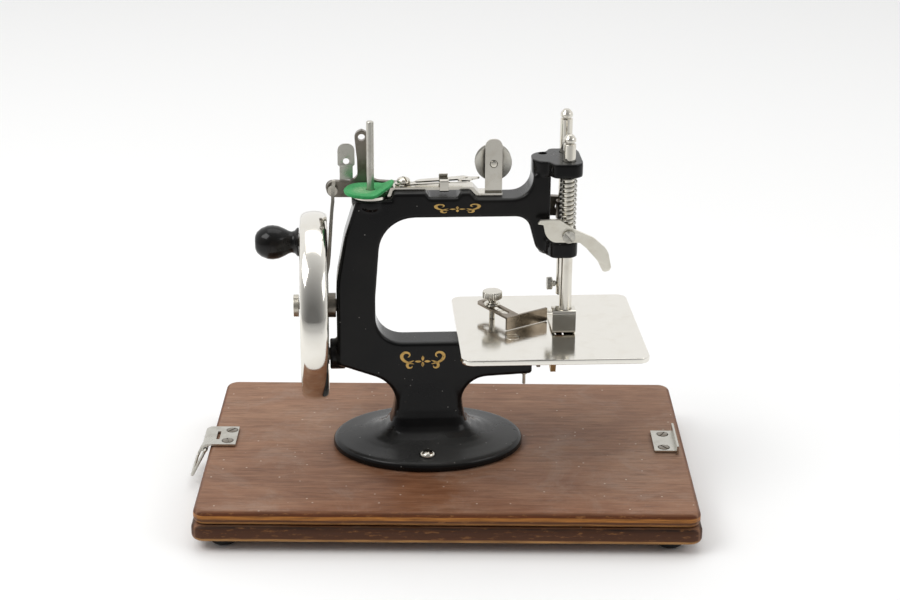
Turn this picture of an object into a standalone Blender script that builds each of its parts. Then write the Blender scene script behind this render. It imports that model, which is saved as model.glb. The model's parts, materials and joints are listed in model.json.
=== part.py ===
"""Child's hand-crank chain-stitch sewing machine on a two-layer wooden board.

Every length below is in millimetres and MM turns it into metres.  The machine is drawn in
its own axes: X along the arm towards the needle, Y across it, Z up from the top of the
board.  An empty on the board carries it, turned by MACHINE_YAW.  The object's origin lies
on the standing surface, under the middle of the whole outline.
"""
import math

import bmesh
import bpy
from mathutils import Vector

MM = 0.001
OBJECT_NAME = "toy_sewing_machine"
GAP = 0.3                     # clearance between neighbours that touch on the real machine
TURN = 2 * math.pi

# Board
BOARD_LENGTH = 232.0
BOARD_DEPTH = 150.2
UPPER_PLY = 7.2
LOWER_PLY = 8.3
LOWER_OVERHANG = 1.0
FOOT_HEIGHT = 5.0
FOOT_RADIUS = 7.0
FOOT_INSET_X = 13.0
FOOT_INSET_Y = 11.0
BOARD_TOP = FOOT_HEIGHT + LOWER_PLY + UPPER_PLY

# Catch hardware at the board's ends
BAIL_HINGE = (-118.0, 4.0, -1.4)          # middle of the hinge, from the board's top centre
BAIL_WIRE = 1.5
BAIL_WIDTH = 17.0
BAIL_LENGTH = 15.5
BAIL_LEAN = math.radians(27)
BAIL_REACH = -BAIL_HINGE[0] + BAIL_LENGTH * math.sin(BAIL_LEAN) + BAIL_WIRE / 2
ORIGIN_SHIFT = (BAIL_REACH - BOARD_LENGTH / 2 - LOWER_OVERHANG) / 2

# Machine on the board
MACHINE_PLACE = (-9.6, 1.5)
MACHINE_YAW = math.radians(3.5)
ARM_DEPTH = 16.0
ARM_TOP = 127.0
PAD_TOP = 130.3
THROAT_TOP = 118.0
LOWER_ARM_TOP = 55.3
HEAD_TOP = 145.0
HEAD_BLOCK = 6.8
LOWER_BLOCK = (99.3, 107.0)
BASE_HALF = (46.2, 35.0)

# Shafts
WHEEL_Z = 72.5
SHAFT_Z = 47.5
WHEEL_RADIUS = 45.0
WHEEL_X = (-60.5, -47.6)
GEAR_X = (-56.4, -53.4)
GEAR_TEETH = 24
GEAR_MODULE = (WHEEL_Z - SHAFT_Z) / GEAR_TEETH
STUD_RADIUS = 4.0
SHAFT_RADIUS = 3.0
KNOB_RADIUS_ON_WHEEL = 32.0
KNOB_X = -60.9

# Bars of the head
BAR_X = 64.7
BAR_Y = 7.5
BAR_RADIUS = 2.9
PRESSER_TOP = 158.0
NEEDLE_TOP = 166.0
COLLAR_Z = (107.4, 112.2)

# Needle lever and link, behind the arm
LEVER_Y = 13.2
LEVER_THICKNESS = 3.0
LEVER_PIVOT = (-12.0, 123.6)
LEVER_LEFT = (-44.8, 126.6)
LEVER_RIGHT = (BAR_X, 116.6)
LINK_FORK_X = -48.9
LINK_THICKNESS = 1.3

# Lifting lever: the edge is an involute, so the foot rises evenly with the turn
LIFTER_PIVOT = (BAR_X, 110.2)
LIFTER_Y = -12.8
LIFTER_RISE = 5.73            # millimetres of lift for each radian
LIFTER_BASE = 2.9             # pivot above the lower head block's top, less the gap

# Cloth plate and what is on it
PLATE_TOP = 60.0
PLATE_X = (13.4, 101.2)
PLATE_HALF_Y = 42.0
PLATE_SHEET = 1.2
PLATE_RIM = 2.8
PLATE_SCREWS = ((39.4, -13.3), (37.8, 21.0))
GUIDE_PIVOT = (31.5, 11.0)
GUIDE_TURN = math.radians(31)
NEEDLE_HOLE = (BAR_X, BAR_Y)

# Top of the arm
SPOOL = (-27.2, -0.5)
SPOOL_SEAT = 126.8
FELT_CENTRE = (-27.9, -0.5)
FELT_RADIUS = 11.7
FELT_THICKNESS = 2.0
TENSION = (30.2, 142.1)
TENSION_TAB_Y = -1.0
DOME_SCREW_X = -11.8

STEPS = 24                    # sides of a turned piece


# ------------------------------------------------------------------ building blocks
def clear_scene():
    for old in list(bpy.data.objects):
        bpy.data.objects.remove(old, do_unlink=True)


def new_collection(name):
    collection = bpy.data.collections.new(name)
    bpy.context.scene.collection.children.link(collection)
    return collection


def new_empty(name, location, turn=0.0, parent=None):
    empty = bpy.data.objects.new(name, None)
    empty.location = Vector(location) * MM
    empty.rotation_euler = (0, 0, turn)
    empty.parent = parent
    PARTS.objects.link(empty)
    return empty


def new_material(name, colour, metallic, roughness):
    material = bpy.data.materials.new(name)
    material.use_nodes = True
    shader = material.node_tree.nodes["Principled BSDF"]
    shader.inputs["Base Color"].default_value = (*colour, 1)
    shader.inputs["Metallic"].default_value = metallic
    shader.inputs["Roughness"].default_value = roughness
    return material


def finish(obj, name, look, parent, location=(0, 0, 0), rotation=(0, 0, 0)):
    """Name a piece, place it and give it its own material."""
    obj.name = name
    obj.data.name = name
    obj.data.materials.clear()
    obj.data.materials.append(new_material(name, *look))
    obj.parent = parent
    obj.location = Vector(location) * MM
    obj.rotation_euler = rotation
    return obj


def mesh_object(name, mesh, collection=None):
    obj = bpy.data.objects.new(name, mesh)
    (collection or PARTS).objects.link(obj)
    return obj


def as_tool(obj):
    """Turn a piece into a cutter or a joining tool that is not part of the model."""
    for collection in list(obj.users_collection):
        collection.objects.unlink(obj)
    TOOLS.objects.link(obj)
    obj.hide_render = True
    obj.display_type = "WIRE"
    return obj


def combine(obj, tool, operation):
    boolean = obj.modifiers.new(operation.title(), "BOOLEAN")
    boolean.operation = operation
    boolean.object = as_tool(tool)
    boolean.solver = "EXACT"
    return obj


def at(obj, parent, location=(0, 0, 0), rotation=(0, 0, 0)):
    obj.parent = parent
    obj.location = Vector(location) * MM
    obj.rotation_euler = rotation
    return obj


def bevel(obj, width, segments=2, angle=40):
    modifier = obj.modifiers.new("Bevel", "BEVEL")
    modifier.width = width * MM
    modifier.segments = segments
    modifier.limit_method = "ANGLE"
    modifier.angle_limit = math.radians(angle)
    modifier.use_clamp_overlap = True
    return obj


def box(size, centre=(0, 0, 0)):
    """A box of the given size whose mesh is centred on a point."""
    mesh = bpy.data.meshes.new("box")
    shape = bmesh.new()
    bmesh.ops.create_cube(shape, size=1.0)
    bmesh.ops.scale(shape, vec=Vector(size) * MM, verts=shape.verts)
    bmesh.ops.translate(shape, vec=Vector(centre) * MM, verts=shape.verts)
    shape.to_mesh(mesh)
    shape.free()
    return mesh_object("box", mesh)


def rod(radius, low, high, sides=24):
    """A cylinder on local Z between two heights."""
    mesh = bpy.data.meshes.new("rod")
    shape = bmesh.new()
    bmesh.ops.create_cone(shape, cap_ends=True, segments=sides, radius1=radius * MM,
                          radius2=radius * MM, depth=(high - low) * MM)
    bmesh.ops.translate(shape, vec=(0, 0, (high + low) / 2 * MM), verts=shape.verts)
    shape.to_mesh(mesh)
    shape.free()
    obj = mesh_object("rod", mesh)
    shade(obj)
    return obj


def shade(obj):
    obj.data.shade_smooth()
    obj.data.set_sharp_from_angle(angle=math.radians(35))


def turned(profile, closed=False, steps=STEPS):
    """A solid turned on local Z; the profile of (radius, height) runs down its outer side."""
    mesh = bpy.data.meshes.new("turned")
    points = [(radius * MM, 0, height * MM) for radius, height in profile]
    edges = [(index, index + 1) for index in range(len(points) - 1)]
    if closed:
        edges.append((len(points) - 1, 0))
    mesh.from_pydata(points, edges, [])
    obj = mesh_object("turned", mesh)
    screw = obj.modifiers.new("Screw", "SCREW")
    screw.steps = steps
    screw.render_steps = steps
    screw.use_merge_vertices = True
    screw.merge_threshold = 0.00001
    screw.use_smooth_shade = True
    return obj


def rounded(corners, steps=3):
    """Points of a closed outline; each corner is (x, y) or (x, y, radius)."""
    points = []
    count = len(corners)
    for index, corner in enumerate(corners):
        here = Vector(corner[:2])
        radius = corner[2] if len(corner) > 2 else 0.0
        if radius == 0.0:
            points.append(tuple(here))
            continue
        back = (Vector(corners[index - 1][:2]) - here).normalized()
        ahead = (Vector(corners[(index + 1) % count][:2]) - here).normalized()
        half = back.angle(ahead) / 2
        reach = radius / math.tan(half)
        centre = here + (back + ahead).normalized() * (radius / math.sin(half))
        first = here + back * reach - centre
        sweep = first.angle_signed(here + ahead * reach - centre)
        for step in range(steps + 1):
            turn = -sweep * step / steps
            x = first.x * math.cos(turn) - first.y * math.sin(turn)
            y = first.x * math.sin(turn) + first.y * math.cos(turn)
            points.append((centre.x + x, centre.y + y))
    return points


def ring_of(centre, radius, sides=16):
    return [(centre[0] + radius * math.cos(TURN * step / sides),
             centre[1] + radius * math.sin(TURN * step / sides)) for step in range(sides)]


def half_ring(centre, radius, start, steps=6):
    """Points of a half circle that begins at the angle start."""
    angles = [start + math.pi * step / steps for step in range(steps + 1)]
    return [(centre[0] + radius * math.cos(angle),
             centre[1] + radius * math.sin(angle)) for angle in angles]


def slot_of(start, end, radius, steps=6):
    """Outline of a slot with round ends."""
    along = Vector(end) - Vector(start)
    heading = math.atan2(along.y, along.x)
    return (half_ring(end, radius, heading - math.pi / 2, steps)
            + half_ring(start, radius, heading + math.pi / 2, steps))


def curve_to_mesh(curve_object, flat_caps=False):
    """Replace a curve by its mesh, with the caps welded on and, if asked, left as one face."""
    graph = bpy.context.evaluated_depsgraph_get()
    mesh = bpy.data.meshes.new_from_object(curve_object.evaluated_get(graph))
    shape = bmesh.new()
    shape.from_mesh(mesh)
    bmesh.ops.remove_doubles(shape, verts=shape.verts, dist=0.000001)
    if flat_caps:
        bmesh.ops.dissolve_limit(shape, angle_limit=math.radians(0.5), verts=shape.verts,
                                 edges=shape.edges)
    shape.to_mesh(mesh)
    shape.free()
    obj = mesh_object("from_curve", mesh)
    obj.matrix_world = curve_object.matrix_world.copy()
    bpy.data.objects.remove(curve_object, do_unlink=True)
    return obj


def sheet(outline, thickness, holes=()):
    """A flat piece in local XY, centred on its thickness, with any holes."""
    curve = bpy.data.curves.new("outline", "CURVE")
    curve.dimensions = "2D"
    curve.fill_mode = "BOTH"
    curve.extrude = thickness / 2 * MM
    for loop in (outline, *holes):
        spline = curve.splines.new("POLY")
        spline.points.add(len(loop) - 1)
        for point, place in zip(spline.points, loop):
            point.co = (place[0] * MM, place[1] * MM, 0, 1)
        spline.use_cyclic_u = True
    obj = bpy.data.objects.new("outline", curve)
    PARTS.objects.link(obj)
    obj = curve_to_mesh(obj, flat_caps=not holes)
    shade(obj)
    return obj


def wire(points, radius, cyclic=False):
    """A round wire along points, with filled ends."""
    curve = bpy.data.curves.new("wire", "CURVE")
    curve.dimensions = "3D"
    curve.bevel_depth = radius * MM
    curve.bevel_resolution = 2
    curve.use_fill_caps = True
    spline = curve.splines.new("POLY")
    spline.points.add(len(points) - 1)
    for point, place in zip(spline.points, points):
        point.co = (place[0] * MM, place[1] * MM, place[2] * MM, 1)
    spline.use_cyclic_u = cyclic
    obj = bpy.data.objects.new("wire", curve)
    PARTS.objects.link(obj)
    obj = curve_to_mesh(obj)
    shade(obj)
    return obj


def loft(rings):
    """A closed body through rings that all have the same number of points."""
    mesh = bpy.data.meshes.new("loft")
    shape = bmesh.new()
    rows = [[shape.verts.new(Vector(point) * MM) for point in ring] for ring in rings]
    for lower, upper in zip(rows, rows[1:]):
        for index in range(len(lower)):
            after = (index + 1) % len(lower)
            shape.faces.new((lower[index], lower[after], upper[after], upper[index]))
    shape.faces.new(list(reversed(rows[0])))
    shape.faces.new(rows[-1])
    bmesh.ops.recalc_face_normals(shape, faces=shape.faces)
    shape.to_mesh(mesh)
    shape.free()
    obj = mesh_object("loft", mesh)
    shade(obj)
    return obj


def helix(radius, low, high, turns, per_turn, top_radius=None):
    """Points of a coil on Z, ground nearly flat at both ends."""
    total = int(turns * per_turn)
    last_radius = radius if top_radius is None else top_radius
    points = []
    for step in range(total + 1):
        part = step / total
        angle = TURN * turns * part
        here = radius + (last_radius - radius) * part
        points.append((here * math.cos(angle), here * math.sin(angle), low + (high - low) * part))
    return points


# Rotations that carry a flat piece or a turned piece into the machine's axes
UPRIGHT = (math.pi / 2, 0, 0)                  # sheet's x, y -> machine X, Z; thickness on Y
CROSSWISE = (math.pi / 2, 0, math.pi / 2)      # sheet's x, y -> machine Y, Z; thickness on X
ALONG_X = (0, math.pi / 2, 0)                  # turned axis -> +X
ALONG_MINUS_X = (0, -math.pi / 2, 0)
ALONG_Y = (-math.pi / 2, 0, 0)
ALONG_MINUS_Y = (math.pi / 2, 0, 0)

# Looks: colour, metallic, roughness
WOOD = ((0.16, 0.065, 0.035), 0.0, 0.45)
PLY = ((0.22, 0.10, 0.045), 0.0, 0.5)
RUBBER = ((0.015, 0.015, 0.015), 0.0, 0.7)
JAPAN = ((0.008, 0.008, 0.009), 0.0, 0.12)
NICKEL = ((0.72, 0.68, 0.60), 1.0, 0.18)
DULL_NICKEL = ((0.62, 0.58, 0.50), 1.0, 0.38)
STEEL = ((0.30, 0.26, 0.22), 1.0, 0.42)
BRASS = ((0.45, 0.33, 0.18), 1.0, 0.4)
FELT = ((0.02, 0.32, 0.12), 0.0, 0.95)


def slot_cut(obj, width, length, depth, turn=0.0):
    """Saw a screwdriver slot into the head of a piece whose top is at local height 0."""
    cutter = box((length, width, 2 * depth))
    combine(obj, at(cutter, obj, rotation=(0, 0, turn)), "DIFFERENCE")
    return obj


def screw(name, parent, place, rotation, head, shank, dome=0.0, turn=0.4, look=NICKEL):
    """A slotted screw: head and shank are (radius, length); its head's top is the origin."""
    head_radius, head_length = head
    shank_radius, shank_length = shank
    profile = [(0, 0)]
    if dome:
        for step in range(1, 3):
            angle = math.pi / 2 * step / 3
            profile.append((head_radius * math.sin(angle), -dome * (1 - math.cos(angle))))
    else:
        profile.append((head_radius - 0.3, 0))
    profile += [(head_radius, -dome if dome else -0.3), (head_radius, -head_length),
                (shank_radius, -head_length), (shank_radius, -head_length - shank_length),
                (0, -head_length - shank_length)]
    obj = turned(profile, steps=14)
    slot_cut(obj, head_radius * 0.26, head_radius * 2.4, head_length * 0.5, turn)
    return finish(obj, name, look, parent, place, rotation)


# ------------------------------------------------------------------ board and its hardware
def make_board(board):
    half_x = BOARD_LENGTH / 2
    half_y = BOARD_DEPTH / 2
    layers = (("upper_board", half_x, half_y, UPPER_PLY, -UPPER_PLY / 2, WOOD),
              ("lower_board", half_x + LOWER_OVERHANG, half_y + LOWER_OVERHANG, LOWER_PLY,
               -UPPER_PLY - LOWER_PLY / 2, PLY))
    for name, reach_x, reach_y, height, middle, look in layers:
        radius = 6.0
        corners = [(-reach_x, -reach_y, radius), (reach_x, -reach_y, radius),
                   (reach_x, reach_y, radius), (-reach_x, reach_y, radius)]
        slab = sheet(rounded(corners), height - GAP)
        bevel(slab, 2.2, 3)
        finish(slab, name, look, board, (0, 0, middle))
    foot_profile = [(0, 0), (FOOT_RADIUS, 0), (FOOT_RADIUS, -1.0), (FOOT_RADIUS - 0.7, -3.2),
                    (FOOT_RADIUS - 2.4, -FOOT_HEIGHT + GAP), (0, -FOOT_HEIGHT + GAP)]
    number = 0
    for side_x in (-1, 1):
        for side_y in (-1, 1):
            number += 1
            foot = turned(foot_profile, steps=16)
            finish(foot, f"rubber_foot_{number}", RUBBER, board,
                   (side_x * (half_x - FOOT_INSET_X), side_y * (half_y - FOOT_INSET_Y),
                    FOOT_HEIGHT - GAP - BOARD_TOP))


def make_left_catch(board):
    """Hinge plate with two screws, and the wire bail that holds the cover down."""
    hinge_x, hinge_y, hinge_z = BAIL_HINGE
    width = 20.6
    inner = 12.0
    plate = box((inner, width, 1.0), (hinge_x + 2.6 + inner / 2, hinge_y, 0.8))
    window = box((1.6, 9.0, 4.0), (hinge_x + 5.4, hinge_y, 0.8))
    combine(plate, at(window, board), "DIFFERENCE")
    knuckle_outline = [(hinge_x + 3.2, 0.35), (hinge_x + 3.2, 1.3), (hinge_x + 0.6, 1.3, 1.2),
                       (hinge_x - 1.9, 0.2, 1.2), (hinge_x - 1.9, hinge_z - 1.5, 1.2),
                       (hinge_x + 0.9, hinge_z - 1.5, 0.6), (hinge_x + 0.9, 0.35)]
    knuckle = sheet(rounded(knuckle_outline), width)
    combine(plate, at(knuckle, board, (0, hinge_y, 0), UPRIGHT), "UNION")
    bore = rod(BAIL_WIRE / 2 + GAP, -width, width, 16)
    combine(plate, at(bore, board, BAIL_HINGE, ALONG_Y), "DIFFERENCE")
    for number, (x, y) in enumerate(((-106.6, 10.2), (-107.6, -1.9)), 1):
        hole = rod(2.9, -4, 4, 16)
        combine(plate, at(hole, board, (x, y, 0)), "DIFFERENCE")
        screw(f"catch_screw_left_{number}", board, (x, y, 1.5), (0, 0, 0), (2.6, 1.1), (1.2, 0.1),
              turn=0.9 * number, look=STEEL)
    finish(plate, "catch_plate_left", DULL_NICKEL, board)

    bail_frame = new_empty("bail_axis", BAIL_HINGE, parent=board)
    bail_frame.rotation_euler = (0, BAIL_LEAN, 0)
    half = BAIL_WIDTH / 2 + 3.2
    radius = 1.6
    loop = rounded([(-half, 0, radius), (half, 0, radius), (half, -BAIL_LENGTH, radius),
                    (-half, -BAIL_LENGTH, radius)], 3)
    points = [(0, x, z) for x, z in loop]
    bail = wire(points, BAIL_WIRE / 2, cyclic=True)
    finish(bail, "bail", NICKEL, bail_frame)


def make_right_catch(board):
    """Plate with an upright lip that the cover's tongue slides under."""
    plate = box((10.6, 23.0, 1.0), (105.9, 1.6, 0.8))
    lip = box((1.0, 27.0, 4.2), (111.6, 1.6, 2.4))
    combine(plate, at(lip, board), "UNION")
    for number, (x, y) in enumerate(((106.2, 9.0), (105.4, -6.0)), 1):
        hole = rod(2.9, -4, 4, 16)
        combine(plate, at(hole, board, (x, y, 0)), "DIFFERENCE")
        screw(f"catch_screw_right_{number}", board, (x, y, 1.5), (0, 0, 0), (2.6, 1.1),
              (1.2, 0.1), turn=1.1 * number, look=STEEL)
    finish(plate, "catch_plate_right", DULL_NICKEL, board)


# ------------------------------------------------------------------ casting
def frame_outline():
    """Side view of the casting above its base, anticlockwise from the pedestal's left foot."""
    return rounded([
        (15.8, 12.3), (15.8, 36.6, 13.0), (49.7, 38.4), (49.7, 58.5), (16.0, 58.5),
        (14.5, LOWER_ARM_TOP), (-25.4, LOWER_ARM_TOP, 13.0), (-25.4, 78.0, 20.0),
        (-22.4, THROAT_TOP, 17.0), (45.8, THROAT_TOP, 7.0), (50.6, 102.0, 4.5),
        (53.2, 101.2), (56.5, 101.2), (56.5, HEAD_TOP - 1.0), (47.6, HEAD_TOP - 1.0),
        (47.3, ARM_TOP, 9.5), (22.0, ARM_TOP), (19.2, PAD_TOP), (14.6, PAD_TOP),
        (12.8, 127.6), (0.4, 127.6), (-1.6, PAD_TOP), (-16.6, PAD_TOP),
        (-17.6, SPOOL_SEAT - 0.3), (-34.4, SPOOL_SEAT - 0.3), (-43.8, 90.0, 30.0),
        (-43.8, 44.4, 3.0), (-15.8, 34.4, 15.0), (-15.8, 12.3)])


def head_outline(left, right):
    """Top view of a head block: the column's width, then two lobes for the two bars."""
    return rounded([(left, -8.6), (54.2, -8.6, 2.0), (56.8, -13.9, 2.5),
                    (right, -13.9, 4.0), (right, 13.9, 4.0), (56.8, 13.9, 2.5),
                    (54.2, 8.6, 2.0), (left, 8.6)])


def oval(height, half_x, half_y, power, sides=36):
    """Superellipse ring: power 2 is an ellipse and a larger power is boxier."""
    ring = []
    for step in range(sides):
        angle = TURN * step / sides
        across = math.cos(angle)
        along = math.sin(angle)
        ring.append((half_x * math.copysign(abs(across) ** (2 / power), across),
                     half_y * math.copysign(abs(along) ** (2 / power), along), height))
    return ring


def make_frame(machine):
    body = sheet(frame_outline(), ARM_DEPTH)
    bevel(body, 2.0, 2, 80)
    finish(body, "machine_frame", JAPAN, machine, rotation=UPRIGHT)

    half_x, half_y = BASE_HALF
    foot = loft([oval(GAP, half_x, half_y, 2.0), oval(3.2, half_x, half_y, 2.0),
                 oval(4.6, half_x - 1.6, half_y - 1.6, 2.0), oval(5.5, 33.0, 23.0, 2.3),
                 oval(8.0, 24.0, 15.6, 3.0), oval(13.0, 18.6, 10.6, 4.5),
                 oval(20.7, 16.5, 8.8, 5.5), oval(26.3, 13.7, 6.1, 5.0)])
    combine(body, at(foot, machine), "UNION")

    top_block = sheet(head_outline(47.8, 71.0), HEAD_BLOCK)
    bevel(top_block, 0.7, 1, 50)
    combine(body, at(top_block, machine, (0, 0, HEAD_TOP - HEAD_BLOCK / 2)), "UNION")
    low, high = LOWER_BLOCK
    low_block = sheet(head_outline(51.6, 69.5), high - low)
    bevel(low_block, 0.7, 1, 50)
    combine(body, at(low_block, machine, (0, 0, (high + low) / 2)), "UNION")

    seat = rod(8.7, 121.5, SPOOL_SEAT, 24)
    combine(body, at(seat, machine, (*SPOOL, 0)), "UNION")
    left_boss = rod(7.4, -47.2, -40.0, 24)
    combine(body, at(left_boss, machine, (0, 0, SHAFT_Z), ALONG_X), "UNION")
    right_boss = rod(7.2, 44.0, 49.95, 24)
    combine(body, at(right_boss, machine, (0, 0, SHAFT_Z), ALONG_X), "UNION")
    lug = box((14.0, 43.0, 4.1), (38.6, 3.6, 56.25))
    combine(body, at(lug, machine), "UNION")

    holes = (
        ((0, 0, WHEEL_Z), ALONG_X, 3.3, -50, -30), ((0, 0, SHAFT_Z), ALONG_X, 3.3, -52, 52),
        ((BAR_X, BAR_Y, 0), (0, 0, 0), BAR_RADIUS + GAP, 90, 150),
        ((BAR_X, -BAR_Y, 0), (0, 0, 0), BAR_RADIUS + GAP, 90, 150),
        ((53.6, 5.6, 0), (0, 0, 0), 2.1, 138, 150),
        ((*SPOOL, 0), (0, 0, 0), 1.75 + GAP, 116, 130),
        ((DOME_SCREW_X, 0, 0), (0, 0, 0), 1.9, 124, 132),
        ((LEVER_PIVOT[0], 0, LEVER_PIVOT[1]), ALONG_Y, 2.3, 1, 12),
        ((*PLATE_SCREWS[0], 0), (0, 0, 0), 1.9, 50, 62),
        ((*PLATE_SCREWS[1], 0), (0, 0, 0), 1.9, 50, 62),
        ((46.6, 0, 0), (0, 0, 0), 1.1, 30, 43.0),
        ((-1.5, -26.5, 0), (0, 0, 0), 4.1, 5.0, 14), ((-1.5, 26.5, 0), (0, 0, 0), 4.1, 5.0, 14),
        ((-1.5, -26.5, 0), (0, 0, 0), 2.0, -2, 8), ((-1.5, 26.5, 0), (0, 0, 0), 2.0, -2, 8),
    )
    for place, rotation, radius, low, high in holes:
        combine(body, at(rod(radius, low, high, 16), machine, place, rotation), "DIFFERENCE")

    for number, y in enumerate((-26.5, 26.5), 1):
        screw(f"base_screw_{number}", machine, (-1.5, y, 8.0), (0, 0, 0), (3.6, 2.7), (1.6, 4.6),
              dome=2.4, turn=1.25)


# ------------------------------------------------------------------ wheel and looper shaft
def wheel_profile():
    """Cup-shaped section: a crowned rim, a web on the outer side and a hub."""
    left, right = WHEEL_X
    middle = (left + right) / 2
    half = (right - left) / 2
    edge = WHEEL_RADIUS - 3.6
    # local height runs along +X; the rim's outer side is followed from right to left
    rim = []
    for step in range(7):
        angle = math.pi * (0.06 + 0.88 * step / 6)
        rim.append((edge + 3.6 * math.sin(angle) ** 0.7, middle + half * math.cos(angle)))
    inner = [(35.0, left + 1.6), (33.0, left + 2.2), (10.0, left + 2.2), (8.6, left + 0.2),
             (STUD_RADIUS + GAP, left + 0.2), (STUD_RADIUS + GAP, -50.0), (6.5, -50.0),
             (6.5, GEAR_X[0] - 0.9), (38.8, GEAR_X[0] - 0.9), (40.2, GEAR_X[0] + 0.6),
             (40.7, right - 0.2)]
    return rim + inner


def gear(name, parent, bore, phase, look):
    """Spur gear with straight-sided teeth on local Z, between GEAR_X."""
    pitch = GEAR_MODULE * GEAR_TEETH / 2
    tip = pitch + 0.82 * GEAR_MODULE
    root = pitch - 1.15 * GEAR_MODULE
    outline = []
    for tooth in range(GEAR_TEETH):
        for radius, offset in ((root, -0.30), (tip, -0.12), (tip, 0.12), (root, 0.30)):
            angle = TURN * (tooth + offset + phase) / GEAR_TEETH
            outline.append((radius * math.cos(angle), radius * math.sin(angle)))
    obj = sheet(outline, GEAR_X[1] - GEAR_X[0], [ring_of((0, 0), bore, 20)])
    return finish(obj, name, look, parent, (0, 0, 0), CROSSWISE)


def make_wheel(machine):
    axis = new_empty("wheel_axis", (0, 0, WHEEL_Z), parent=machine)
    wheel = turned(wheel_profile(), closed=True, steps=36)
    knob_z = KNOB_RADIUS_ON_WHEEL
    hole = rod(2.3, -66, -52, 16)
    combine(wheel, at(hole, axis, (0, 0, knob_z), ALONG_X), "DIFFERENCE")
    finish(wheel, "handwheel", NICKEL, axis, rotation=ALONG_X)

    drive = gear("drive_gear", axis, 6.5 + GAP, 0.0, STEEL)
    drive.location.x = sum(GEAR_X) / 2 * MM

    stud = turned([(0, -32.6), (3.0, -32.6), (3.0, -44.1), (5.85, -44.1), (5.85, -47.9),
                   (STUD_RADIUS, -47.9), (STUD_RADIUS, -61.3), (0, -61.3)], steps=20)
    finish(stud, "wheel_stud", STEEL, axis, rotation=ALONG_X)
    bore = rod(2.1, -62, -52, 16)
    combine(stud, at(bore, axis, rotation=ALONG_X), "DIFFERENCE")
    screw("stud_screw", axis, (-64.2, 0, 0), ALONG_MINUS_X, (5.3, 2.5), (1.8, 6.5), turn=0.5,
          look=DULL_NICKEL)

    knob_axis = new_empty("knob_axis", (0, 0, knob_z), parent=axis)
    # local height runs along -X, so the flange is at the bottom of the profile
    end = 81.5
    knob = turned([(0, end), (3.2, end - 0.1), (5.0, end - 1.0), (6.7, end - 3.0),
                   (7.9, end - 6.0), (8.1, end - 8.4), (7.7, end - 11.0), (6.6, end - 13.6),
                   (5.4, end - 15.8), (5.0, end - 17.2), (5.4, end - 18.6), (6.6, end - 19.6),
                   (6.8, end - 20.0), (6.8, -KNOB_X), (2.6, -KNOB_X), (2.6, end - 7.0),
                   (0, end - 7.0)], steps=24)
    finish(knob, "crank_knob", JAPAN, knob_axis, rotation=ALONG_MINUS_X)
    spindle = turned([(0, end - 8.0), (2.2, end - 8.0), (2.2, 60.7), (1.9, 60.7), (1.9, 57.0),
                      (3.2, 57.0), (3.2, 56.7), (0, 56.7)], steps=16)
    finish(spindle, "crank_spindle", STEEL, knob_axis, rotation=ALONG_MINUS_X)


def make_looper_shaft(machine):
    axis = new_empty("shaft_axis", (0, 0, SHAFT_Z), parent=machine)
    shaft = turned([(0, 63.2), (SHAFT_RADIUS, 63.2), (SHAFT_RADIUS, -47.6), (5.0, -47.6),
                    (5.0, -52.9), (SHAFT_RADIUS, -52.9), (SHAFT_RADIUS, -57.0), (0, -57.0)],
                   steps=18)
    finish(shaft, "looper_shaft", STEEL, axis, rotation=ALONG_X)
    pinion = gear("shaft_pinion", axis, SHAFT_RADIUS + GAP, 0.5, STEEL)
    pinion.location.x = sum(GEAR_X) / 2 * MM

    hook = []
    for step in range(25):
        part = step / 24
        angle = -math.pi / 2 - 0.25 + math.radians(300) * part
        hook.append(((10.7 - 6.0 * part ** 0.8) * math.cos(angle),
                     (10.7 - 6.0 * part ** 0.8) * math.sin(angle)))
    looper = sheet(hook, 4.8, [ring_of((0, 0), SHAFT_RADIUS + GAP)])
    finish(looper, "looper", BRASS, axis, (60.4, 0, 0), CROSSWISE)
    cam = sheet(ring_of((0.0, 0.9), 6.1, 28), 4.2, [ring_of((0, 0), SHAFT_RADIUS + GAP)])
    finish(cam, "feed_cam", STEEL, axis, (52.6, 0, 0), CROSSWISE)


def make_feed(machine):
    """Feed bar under the plate: a fork astride the cam, and a toothed tongue in the slot."""
    fork = sheet([(-10.4, 43.0), (-8.2, 43.0), (-8.2, 55.2), (8.2, 55.2), (8.2, 43.0),
                  (10.4, 43.0), (10.4, 57.4), (-10.4, 57.4)], 1.8)
    finish(fork, "feed_dog", STEEL, machine, (52.4, 0, 0), CROSSWISE)
    arm = box((12.2, 1.8, 2.2), (57.4, -9.5, 56.3))
    combine(fork, at(arm, machine), "UNION")
    post = box((3.0, 1.8, 4.0), (62.0, -9.5, 57.4))
    combine(fork, at(post, machine), "UNION")
    tongue = [(-10.4, 58.9), (4.0, 58.9), (4.0, 59.7)]
    for tooth in range(9):
        y = 4.0 - 1.6 * tooth
        tongue += [(y - 0.8, 59.35), (y - 1.6, 59.7)]
    teeth = sheet(tongue, 3.0)
    combine(fork, at(teeth, machine, (62.0, 0, 0), CROSSWISE), "UNION")
    pin = turned([(0, 41.0), (0.8, 41.0), (0.8, 37.9), (1.5, 37.9), (1.5, 35.4), (0.75, 35.2),
                  (0.75, 30.2), (0, 29.8)], steps=12)
    finish(pin, "feed_stop_pin", DULL_NICKEL, machine, (46.6, 0, 0))


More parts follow.
